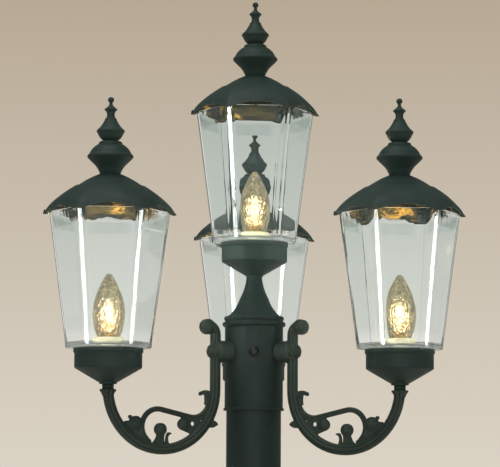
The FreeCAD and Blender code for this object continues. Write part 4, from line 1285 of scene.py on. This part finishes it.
@dataclass
class GlassShape:
    """The six-sided glass that flares upwards, in millimetres over the lantern's foot."""

    low: float = 56.0
    top: float = 272.0
    low_radius: float = 69.75
    top_radius: float = 98.2
    wall: float = 3.0
    floor: float = 4.0
    facet: float = 8.0
    inner_facet: float = 7.0
    outer_blend: float = 0.35
    inner_blend: float = 3.2
    curl_start: float = 26.0
    curl_fade: float = 20.0
    curl_aside: float = 0.07
    curl_aside_fade: float = 0.14
    levels: tuple[float, ...] = (90.0, 130.0, 170.0, 210.0, 246.0, 252.0, 258.0, 264.0)
    half_side: tuple[float, ...] = (0.0, 0.9, 1.6, 2.1, 2.45, 2.75, 3.05, 3.4, 3.9, 4.6, 5.6, 7.0, 9.0,
                                    12.0, 16.0, 20.0, 25.0)

    @property
    def slope(self) -> float:
        """How much the corners' radius grows with the height."""
        return (self.top_radius - self.low_radius) / (self.top - self.low)

    def angles(self) -> list[float]:
        """Gives the directions of a ring's points, closer together near each corner.

        Returns:
            The directions in radians, from a corner.
        """
        side = [*self.half_side, 30.0, *(60.0 - angle for angle in reversed(self.half_side[1:]))]
        return [math.radians(60 * corner + angle) for corner in range(6) for angle in side]

    def reach(self, angle: float, ring: Ring) -> float:
        """Gives how far a six-sided ring lies from the axis.

        Args:
            angle: the direction, in radians from a corner.
            ring: the ring.

        Returns:
            The radius in millimetres.
        """
        off = off_corner(angle)
        blend = self.outer_blend if ring.facet == self.facet else self.inner_blend
        side = ring.corner * math.cos(HALF_SIDE) / math.cos(HALF_SIDE - abs(off))
        flat = (ring.corner - ring.facet / 2 * math.tan(HALF_SIDE)) / math.cos(off)
        share = clamped(0.5 + 0.5 * (flat - side) / blend)
        return flat * (1 - share) + side * share - blend * share * (1 - share)

    def rings(self) -> list[Ring]:
        """Gives the glass's rings, from the hole in its floor up outside and down inside.

        Returns:
            The rings.
        """

        def corner(height: float, inset: float = 0.0) -> float:
            """Gives the radius to a corner at a height, less an inset."""
            return self.low_radius + self.slope * (height - self.low) - inset

        low, top, floor, wall = self.low, self.top, self.low + self.floor, self.wall
        outer, inner = self.facet, self.inner_facet
        under = [Ring(low, RING_BORE, outer, True), Ring(low, RING_BORE + 1.5, outer, True)]
        under += [Ring(low + rise, corner(low, inset), outer)
                  for rise, inset in ((0.0, 8.0), (0.0, 1.5), (0.2, 0.6), (0.6, 0.1))]
        up = [Ring(level, corner(level), outer) for level in (low + 1.4, low + 4.0, *self.levels, top - 2.0)]
        over = [Ring(top - drop, corner(top - drop, inset), facet) for drop, inset, facet in (
            (0.6, 0.1, outer), (0.0, 0.8, outer), (0.0, wall - 0.8, inner), (0.6, wall - 0.1, inner))]
        down = [Ring(level, corner(level, wall), inner)
                for level in (top - 2.0, *reversed(self.levels), floor + 6.0)]
        inside = [Ring(floor + 2.2, corner(floor + 2.2, wall + 0.5), inner)]
        inside += [Ring(floor + rise, corner(floor, inset), inner)
                   for rise, inset in ((0.6, wall + 2.0), (0.0, wall + 4.2), (0.0, 12.0))]
        inside += [Ring(floor, RING_BORE + 1.5, inner, True), Ring(floor, RING_BORE, inner, True)]
        return [*under, *up, *over, *down, *inside, under[0]]

    def lay(self, verts: Iterable[Vert], directions: Iterable[float], ring: Ring) -> None:
        """Lays the points of a ring in place.

        Args:
            verts: the points.
            directions: where each of them points, in radians.
            ring: the ring.
        """
        for vert, angle in zip(verts, directions):
            reach = ring.corner if ring.round else self.reach(angle, ring)
            vert.co = Vector((reach * math.cos(angle), reach * math.sin(angle), ring.height)) * MM

    def solid(self) -> Mesh:
        """Makes the glass, with a flat on each corner outside and a soft corner inside.

        Returns:
            The glass. Material 1 is on its foot and 2 on its rim, and the layer named rim says where
            the glass curls.
        """
        bm = bmesh.new()
        directions = self.angles()
        count = len(directions)
        verts = bmesh.ops.create_circle(bm, cap_ends=False, segments=count, radius=1.0)["verts"]
        steps = [math.atan2(vert.co.y, vert.co.x) % math.tau / math.tau for vert in verts]
        first, *others = self.rings()
        self.lay(verts, [directions[round(step * count) % count] for step in steps], first)
        for ring in others:
            verts = grown(bm, verts)
            self.lay(verts, [math.atan2(vert.co.y, vert.co.x) % math.tau for vert in verts], ring)
        bmesh.ops.remove_doubles(bm, verts=bm.verts, dist=MERGE)
        bmesh.ops.recalc_face_normals(bm, faces=bm.faces)
        rim = bm.verts.layers.float.new("rim")
        for vert in bm.verts:
            near_top = clamped((vert.co.z / MM - self.top + self.curl_start) / self.curl_fade)
            off = abs(off_corner(math.atan2(vert.co.y, vert.co.x)))
            vert[rim] = near_top * clamped((off - self.curl_aside) / self.curl_aside_fade)
        for face in bm.faces:
            heights = [vert.co.z / MM for vert in face.verts]
            if max(heights) < self.low + 4.05:
                face.material_index = 1
            elif min(heights) > self.top - 2.05:
                face.material_index = 2
        return bm


@dataclass
class FlameShape:
    """The glass of a flame bulb, in millimetres over the lantern's foot."""

    low: float = 70.3
    tall: float = 104.0
    radius: float = 26.5
    foot: float = 17.0
    neck: float = 13.4
    belly: float = 0.39
    shoulder: float = 0.79
    shoulder_share: float = 0.60
    dent_base: float = -0.45
    dents: tuple[tuple[float, float, float, float], ...] = ((4.2, 0.045, 0.0, 0.55), (9.0, 0.13, 7.0, 0.30))

    def solid(self) -> Mesh:
        """Makes the glass with its dented outer face.

        Returns:
            The glass.
        """
        low, top, wide = self.low, self.low + self.tall, self.radius
        belly, shoulder = low + self.tall * self.belly, low + self.tall * self.shoulder
        shoulder_radius = wide * self.shoulder_share
        inner = outline([(0.0, top - 2.6, -60), (4.6, top - 5.6, -10), (shoulder_radius - 2.4, shoulder, -26),
                         (wide - 2.2, belly, -26), (self.foot - 2.2, low + 4, 0), (self.neck, low + 4, 0)], 3)
        outer = outline([(self.neck, low, 0), (self.foot, low, 26), (wide - 0.5, belly, 26),
                         (shoulder_radius - 0.2, shoulder, 10), (6.0, top - 3.8, 60), (0.0, top, 0)], 3)
        bm = turned(inner + outer, 96)
        for vert in bm.verts:
            radius, height = vert.co.to_2d().length / MM, vert.co.z / MM - low
            if radius < 4 or height < 2 or not self._outside(radius, height):
                continue
            angle = math.atan2(vert.co.y, vert.co.x)
            out = Vector((math.cos(angle), math.sin(angle), 0.0))
            push = self.dent_base
            for around, upward, start, amount in self.dents:
                push += amount * noise.noise(out * around + UP * (height * upward + start))
            vert.co += out * push * min(1.0, (radius - 4) / 8) * MM
        return bm

    def _outside(self, radius: float, height: float) -> bool:
        """Tells if a point of the glass lies on its outer face.

        Args:
            radius: the point's distance from the axis.
            height: its height over the glass's foot.

        Returns:
            True if it does.
        """
        share = height / self.tall
        if share < self.belly:
            limit = self.foot + (self.radius - self.foot) * math.sin(share / self.belly * math.pi / 2)
        elif share < self.shoulder:
            fall = math.cos((share - self.belly) / (self.shoulder - self.belly) * math.pi / 2)
            limit = self.radius * (self.shoulder_share + (1 - self.shoulder_share) * fall)
        else:
            limit = self.radius * self.shoulder_share * (1 - share) / (1 - self.shoulder)
        return radius > limit - 1.3


@dataclass
class Lantern:
    """One lantern: cup, glass, holder, bulb, roof and finial, in millimetres over its foot.

    The finial's rows are its radius in necks, its height as a share of the whole and the sweep of
    the arc that follows.
    """

    shop: Workshop
    head: Head
    cup_radius: float = 53.5
    cup_lip_radius: float = 55.25
    cup_tall: float = 54.5
    cup_cone_tall: float = 25.5
    cup_hub_radius: float = 14.0
    cup_bore: float = 7.3
    cup_wall: float = 3.0
    core_low: float = 73.3
    core_tall: float = 60.0
    cap_radius: float = 6.0
    cap_flange: float = 8.8
    finial_low: float = 333.0
    finial_neck: float = 16.5
    finial_tall: float = 123.3
    stud_radius: float = 5.0
    stud_deep: float = 18.0
    roof: RoofShape = field(default_factory=RoofShape)
    glass: GlassShape = field(default_factory=GlassShape)
    flame: FlameShape = field(default_factory=FlameShape)
    finial_rows: tuple[Row, ...] = (
        (0.98, 0.0, 0), (1.0, 0.005, -20), (1.45, 0.110, 0), (2.13, 0.200, 40), (2.23, 0.224, 40),
        (2.13, 0.247, 0), (2.02, 0.262, 16), (1.78, 0.318, 24), (1.24, 0.379, 0), (1.16, 0.384, 0),
        (1.12, 0.405, 40), (0.98, 0.420, 0), (0.72, 0.428, 0), (0.74, 0.436, 0), (0.90, 0.450, 24),
        (1.24, 0.525, 0), (1.31, 0.538, 50), (1.36, 0.555, 40), (1.25, 0.577, -10), (0.98, 0.613, -10),
        (0.58, 0.700, 40), (0.55, 0.716, 0), (0.45, 0.729, -30), (0.37, 0.760, 0), (0.38, 0.790, -30),
        (0.62, 0.832, 0), (0.62, 0.842, -16), (0.40, 0.865, -16), (0.18, 0.895, 0), (0.15, 0.930, 150))

    def make(self) -> None:
        """Builds and dresses every piece of the lantern."""
        word, roof_body, bulb_body = self.head.word, self.head.roof_body, self.head.bulb_body
        glass = self._fit("moulded_glass", self.glass.solid(), Finish.GLASS, "post", "glass", 40, False)
        for finish in (Finish.GLASS_FOOT, Finish.GLASS_RIM):
            glass.data.materials.append(self.shop.rack.get(finish))
        self.shop.dress(f"lamp_holder_{word}", Finish.PORCELAIN)
        self.shop.dress(f"bulb_base_{word}", Finish.BRASS)
        self.shop.piece(f"roof_screw_heads_{word}", copied(f"roof_screws_{word}"), Finish.GREEN, roof_body,
                        (f"roof_screws_{word}",), 28, False)
        self._cup()
        self._fit("crackled_flame", self.flame.solid(), Finish.CRACKLED, bulb_body, "bulb_glass", 60, False)
        self._core()
        roof = self._fit("scalloped_roof", self.roof.solid(), Finish.GREEN, roof_body, "roof", 38)
        roof.data.materials.append(self.shop.rack.get(Finish.LINING))
        self._finial()

    def _fit(self, name: str, bm: Mesh, finish: Finish, body: str, node: str = "",
             crease: float = 32.0, worn: bool = True) -> bpy.types.Object:
        """Makes a piece and sets it in the lantern's place.

        Args:
            name: the piece's name, to which the lantern's word is added.
            bm: its mesh over the lantern's foot.
            finish: its finish.
            body: the body that carries it.
            node: the node it stands for, to which the lantern's word is added.
            crease: the angle past which an edge stays sharp, in degrees.
            worn: True to mark its edges and recesses.

        Returns:
            The piece.
        """
        word = self.head.word
        nodes = (f"{node}_{word}",) if node else ()
        moved(bm, self.head.seat())
        return self.shop.piece(f"{name}_{word}", bm, finish, body, nodes, crease, worn)

    def _cup(self) -> None:
        """Makes the round cup under the glass."""
        wide, lip, hub, bore = self.cup_radius, self.cup_lip_radius, self.cup_hub_radius, self.cup_bore
        inside, tall, cone = wide - self.cup_wall, self.cup_tall, self.cup_cone_tall
        rows = [(bore, 0, 0), (hub - 0.6, 0, 0), (hub, 0.6, 0), (hub, 2.6, 0), (hub + 1.5, 3.0, 0),
                (wide - 1, cone - 0.9, 0), (wide, cone + 0.6, 0), (wide, tall - 6.5, -30),
                (lip, tall - 4.6, 0), (lip, tall, 0), (inside, tall, 0), (inside, cone + 2.4, 0),
                (hub + 0.5, 4.2, 0), (bore, 4.2, 0), (bore, 0, 0)]
        self._fit("cup_shell", turned(rounded(outline(rows, 8), 0.7), 112), Finish.GREEN, "post", "cup")

    def _core(self) -> None:
        """Makes the lit core: a small ribbed cap, a stem and the white-hot filament."""
        low, cap, flange, body = self.core_low, self.cap_radius, self.cap_flange, self.head.bulb_body
        rows = [(0.0, low, 0), (flange, low, 0), (flange, low + 1.2, 0), (cap, low + 1.8, 0)]
        for i in range(4):
            rib = low + 1.8 + 2.2 * i
            rows += [(cap, rib, 0), (cap - 0.8, rib + 0.7, 0), (cap, rib + 1.5, 0)]
        rows += [(5.4, low + 11.0, 0), (0.0, low + 11.2, 0)]
        self._fit("ribbed_cap", turned(outline(rows), 40), Finish.BRASS, body, "bulb_core", 40, False)
        rows = [(0.0, low + 11.2, 0), (5.6, low + 11.4, 0), (6.2, low + 15, 0), (4.4, low + 20, 0),
                (6.0, low + 25, 0), (0.0, low + 26.5, 0)]
        self._fit("amber_stem", turned(outline(rows), 32), Finish.EMBER, body, "", 60, False)
        top = low + self.core_tall
        rows = [(0.0, low + 26.6, 0), (2.2, low + 27.0, 20), (3.6, low + 35, 40),
                (2.6, low + self.core_tall * 0.8, 30), (0.8, top - 3, 0), (0.0, top - 2.6, 0)]
        self._fit("white_hot_filament", turned(outline(rows), 40), Finish.CORE, body, "", 60, False)

    def _finial(self) -> None:
        """Makes the turned finial with its stud."""
        low, neck, tall = self.finial_low, self.finial_neck, self.finial_tall
        stud = low - self.stud_deep
        rows = [(0.0, stud, 0.0), (self.stud_radius, stud, 0.0), (self.stud_radius, low, 0.0)]
        rows += [(neck * wide, low + tall * high, sweep) for wide, high, sweep in self.finial_rows]
        rows += [(0.8, low + tall - 0.1, 0.0), (0.0, low + tall, 0.0)]
        finial = turned(rounded(outline(rows, 8), 0.5, 1.0), 80)
        self._fit("turned_finial", finial, Finish.GREEN, self.head.roof_body, "finial")


@dataclass
class Fittings:
    """The small parts that all lanterns share: nipples, nuts, gaskets and the pale rings."""

    shop: Workshop
    ring_low: float = 60.0
    ring_radius: float = 25.0
    ring_tall: float = 12.5

    def make(self) -> None:
        """Builds and dresses the fittings."""
        self.shop.piece("threaded_nipples", copied("nipples"), Finish.GREEN, "post", ("nipples",), 28, False)
        self.shop.dress("nipple_nuts", Finish.BRASS)
        self.shop.dress("gaskets", Finish.RUBBER)
        low, top, wide = self.ring_low, self.ring_low + self.ring_tall, self.ring_radius
        rows = [(RING_BORE, low, 0), (wide, low, 0), (wide, top - 2.5, 60), (wide - 2.2, top, 0),
                (RING_BORE, top, 0), (RING_BORE, low, 0)]
        rings = [moved(turned(rounded(outline(rows, 10), 0.5), 80), head.seat(0.0)) for head in Head]
        self.shop.piece("pale_shade_rings", joined(rings), Finish.PORCELAIN, "post", ("shade_rings",), 40,
                        False)


# ------------------------------------------------------------------------------ studio


def hang(name: str, light: bpy.types.Light, place: Sequence[float],
         only: bpy.types.Collection | None = None) -> bpy.types.Object:
    """Hangs a lamp that the camera sees neither straight nor through glass.

    Args:
        name: the lamp's name.
        light: its light.
        place: where it hangs.
        only: the pieces that it lights, if it doesn't light them all.

    Returns:
        The lamp.
    """
    made = bpy.data.objects.new(name, light)
    made.location = place
    made.visible_camera = False
    made.visible_transmission = False
    bpy.context.scene.collection.objects.link(made)
    if only is not None:
        made.light_linking.receiver_collection = only
    return made


def gathered(name: str, starts: tuple[str, ...]) -> bpy.types.Collection:
    """Gathers the pieces that one lamp lights.

    Args:
        name: the collection's name.
        starts: what the pieces' names start with.

    Returns:
        The collection.
    """
    made = bpy.data.collections.new(name)
    for held in bpy.context.scene.objects:
        if held.type == "MESH" and held.name.startswith(starts):
            made.objects.link(held)
    return made


@dataclass(frozen=True)
class Lamp:
    """One soft lamp panel: where it stands, what it faces and how bright it looks."""

    name: str
    place: Row
    aim: Row
    width: float
    height: float
    radiance: float
    colour: Colour = (1.0, 1.0, 1.0)
    glass_only: bool = False

    def make(self, glass: bpy.types.Collection) -> None:
        """Hangs the lamp.

        Args:
            glass: the glass pieces, the only ones that a glass_only lamp lights.
        """
        light = bpy.data.lights.new(self.name, "AREA")
        light.shape = "RECTANGLE"
        light.size = self.width
        light.size_y = self.height
        light.energy = self.radiance * self.width * self.height * math.pi
        light.color = self.colour
        made = hang(self.name, light, self.place, glass if self.glass_only else None)
        made.rotation_euler = (Vector(self.aim) - Vector(self.place)).to_track_quat("-Z", "Y").to_euler()


@dataclass
class Studio:
    """Floor, backdrop, lamps and camera, in metres.

    The bars are the flats on a glass's corner that another lantern keeps in the shade: the
    lantern, the flat's direction in degrees and where its bar starts and stops, as shares of the
    glass's height.
    """

    camera_place: Row = (-0.0073, -3.98, 1.446)
    camera_pitch: float = 6.046
    camera_roll: float = 0.27
    lens: float = 176.0
    backdrop_top: Colour = from_screen(183, 168, 148)
    backdrop_low: Colour = from_screen(219, 211, 197)
    backdrop_low_angle: float = 0.4
    backdrop_top_angle: float = 11.6
    mirror_view: Colour = (0.20, 0.24, 0.22)
    glass_view_top: Colour = (0.375, 0.43, 0.39)
    glass_view_low: Colour = (0.83, 0.81, 0.755)
    ambient: Colour = (0.92, 0.96, 1.0)
    ambient_strength: float = 0.62
    floor_radius: float = 40.0
    card_away: float = 0.14
    card_wide: float = 0.036
    card_radiance: float = 36.0
    bulb_watts: float = 0.8
    bulb_colour: Colour = (1.0, 0.64, 0.15)
    bulb_radius: float = 0.007
    bulb_level: float = 0.112
    bars: tuple[tuple[Head, int, float, float], ...] = (
        (Head.TOP, 180, -0.05, 1.05), (Head.TOP, 240, -0.05, 0.27),
        (Head.BACK, 180, -0.05, 1.05), (Head.BACK, 240, -0.05, 1.05))
    lamps: tuple[Lamp, ...] = (
        Lamp("left_strip", (-1.98, -1.69, 1.50), (0.0, 0.0, 1.80), 0.84, 1.20, 36.0, glass_only=True),
        Lamp("right_strip", (2.36, -1.10, 1.18), (0.0, 0.0, 1.60), 0.74, 0.96, 36.0, glass_only=True),
        Lamp("left_front_card", (-0.60, -6.3, 0.90), (-0.1, 0.0, 1.4), 2.2, 1.1, 0.9, glass_only=True),
        Lamp("front_panel", (0.0, -6.5, 1.9), (0.0, 0.0, 1.8), 6.0, 4.0, 0.85, (0.93, 1.0, 1.0)),
        Lamp("low_front_panel", (0.0, -4.8, 0.35), (0.0, 0.0, 1.5), 3.6, 0.9, 0.9, (0.95, 1.0, 1.0)),
        Lamp("top_panel", (-0.6, -0.8, 4.4), (0.0, 0.0, 1.9), 2.4, 2.4, 1.6, (0.96, 1.0, 1.0)),
    )

    def make(self) -> None:
        """Sets up the whole studio round the finished pieces."""
        self._floor()
        self._backdrop()
        glass = gathered("glass_pieces", ("moulded_glass", "crackled_flame"))
        for lamp in self.lamps:
            lamp.make(glass)
        self._bar_cards()
        self._bulb_lamps()
        self._camera()

    def _bar_cards(self) -> None:
        """Hangs a small lamp for each bar, where the camera sees it mirrored along the whole bar."""
        shape = GlassShape()
        eye = Vector(self.camera_place)
        for head, corner, *shares in self.bars:
            place = head.seat()
            angle = math.radians(corner)
            across = place.to_3x3() @ Vector((math.cos(angle), math.sin(angle), 0.0))
            facing = (across - UP * shape.slope).normalized()
            spots, mirrored = [], []
            for share in shares:
                rise = (shape.top - shape.low) * share
                reach = shape.low_radius + shape.slope * rise - shape.facet / 2 * math.tan(HALF_SIDE)
                spot = place.translation + (across * reach + UP * (shape.low + rise)) * MM
                ray = (spot - eye).normalized()
                spots.append(spot)
                mirrored.append(spot + (ray - 2 * ray.dot(facing) * facing) * self.card_away)
            name = f"bar_lamp_{head.word}_{corner}"
            Lamp(name, tuple(sum(mirrored, Vector()) / 2), tuple(sum(spots, Vector()) / 2), self.card_wide,
                 (mirrored[0] - mirrored[1]).length, self.card_radiance,
                 glass_only=True).make(gathered(f"{name}_glass", (f"moulded_glass_{head.word}",)))

    def _bulb_lamps(self) -> None:
        """Lets each lit bulb throw its amber light on the lacquer inside its roof."""
        for head in Head:
            name = f"bulb_light_{head.word}"
            light = bpy.data.lights.new(name, "POINT")
            light.energy = self.bulb_watts
            light.color = self.bulb_colour
            light.shadow_soft_size = self.bulb_radius
            roof = gathered(f"roof_over_{head.word}", (f"scalloped_roof_{head.word}",))
            hang(name, light, head.seat() @ (UP * self.bulb_level), roof)

    def _floor(self) -> None:
        """Lays the floor."""
        bm = bmesh.new()
        bmesh.ops.create_circle(bm, cap_ends=True, segments=96, radius=self.floor_radius)
        mesh = bpy.data.meshes.new("floor")
        bm.to_mesh(mesh)
        bm.free()
        mesh.materials.append(PaleFloor().build())
        floor = bpy.data.objects.new("floor", mesh)
        bpy.context.scene.collection.objects.link(floor)

    def _backdrop(self) -> None:
        """Colours the world: what is seen straight, mirrored and through glass, and a soft light."""
        world = bpy.data.worlds.new("studio")
        world.use_nodes = True
        bpy.context.scene.world = world
        sky = Nodes(world.node_tree)
        parts = sky.node("ShaderNodeSeparateXYZ", {0: sky.node("ShaderNodeTexCoord").outputs["Generated"]})
        height = sky.node("ShaderNodeMapRange", {
            "Value": parts.outputs["Z"], "From Min": math.sin(math.radians(self.backdrop_low_angle)),
            "From Max": math.sin(math.radians(self.backdrop_top_angle))}).outputs["Result"]
        path = sky.node("ShaderNodeLightPath").outputs
        straight = sky.mix(height, self.backdrop_low, self.backdrop_top)
        through = sky.mix(height, self.glass_view_low, self.glass_view_top)
        tone = sky.mix(path["Is Glossy Ray"], straight, self.mirror_view)
        tone = sky.mix(path["Is Transmission Ray"], tone, through)
        seen = sky.node("ShaderNodeBackground", {"Color": tone})
        light = sky.node("ShaderNodeBackground", {"Color": self.ambient, "Strength": self.ambient_strength})
        looked = path["Is Camera Ray"]
        for kind in ("Is Glossy Ray", "Is Transmission Ray"):
            looked = sky.sum("MAXIMUM", looked, path[kind])
        sky.node("ShaderNodeOutputWorld", {"Surface": sky.blend(looked, light, seen)})

    def _camera(self) -> None:
        """Stands the camera where the photograph was taken."""
        data = bpy.data.cameras.new("camera")
        data.lens = self.lens
        data.sensor_width = 36.0
        data.clip_start = 0.05
        data.clip_end = 200.0
        made = bpy.data.objects.new("camera", data)
        made.location = self.camera_place
        pitch = Matrix.Rotation(math.radians(90 + self.camera_pitch), 3, "X")
        made.rotation_euler = (pitch @ Matrix.Rotation(math.radians(self.camera_roll), 3, "Z")).to_euler()
        bpy.context.scene.collection.objects.link(made)
        bpy.context.scene.camera = made


def main() -> None:
    """Builds the lamp post and its studio."""
    logging.basicConfig(level=logging.INFO, format="%(name)s: %(message)s")
    bpy.context.scene.view_settings.view_transform = "Standard"
    shop = Workshop()
    Post(shop).make()
    ScrollArms(shop).make()
    Fittings(shop).make()
    for head in Head:
        Lantern(shop, head).make()
    Studio().make()
    LOG.info("%d pieces made", shop.count)
    bpy.context.view_layer.update()


if __name__ == "__main__":
    main()
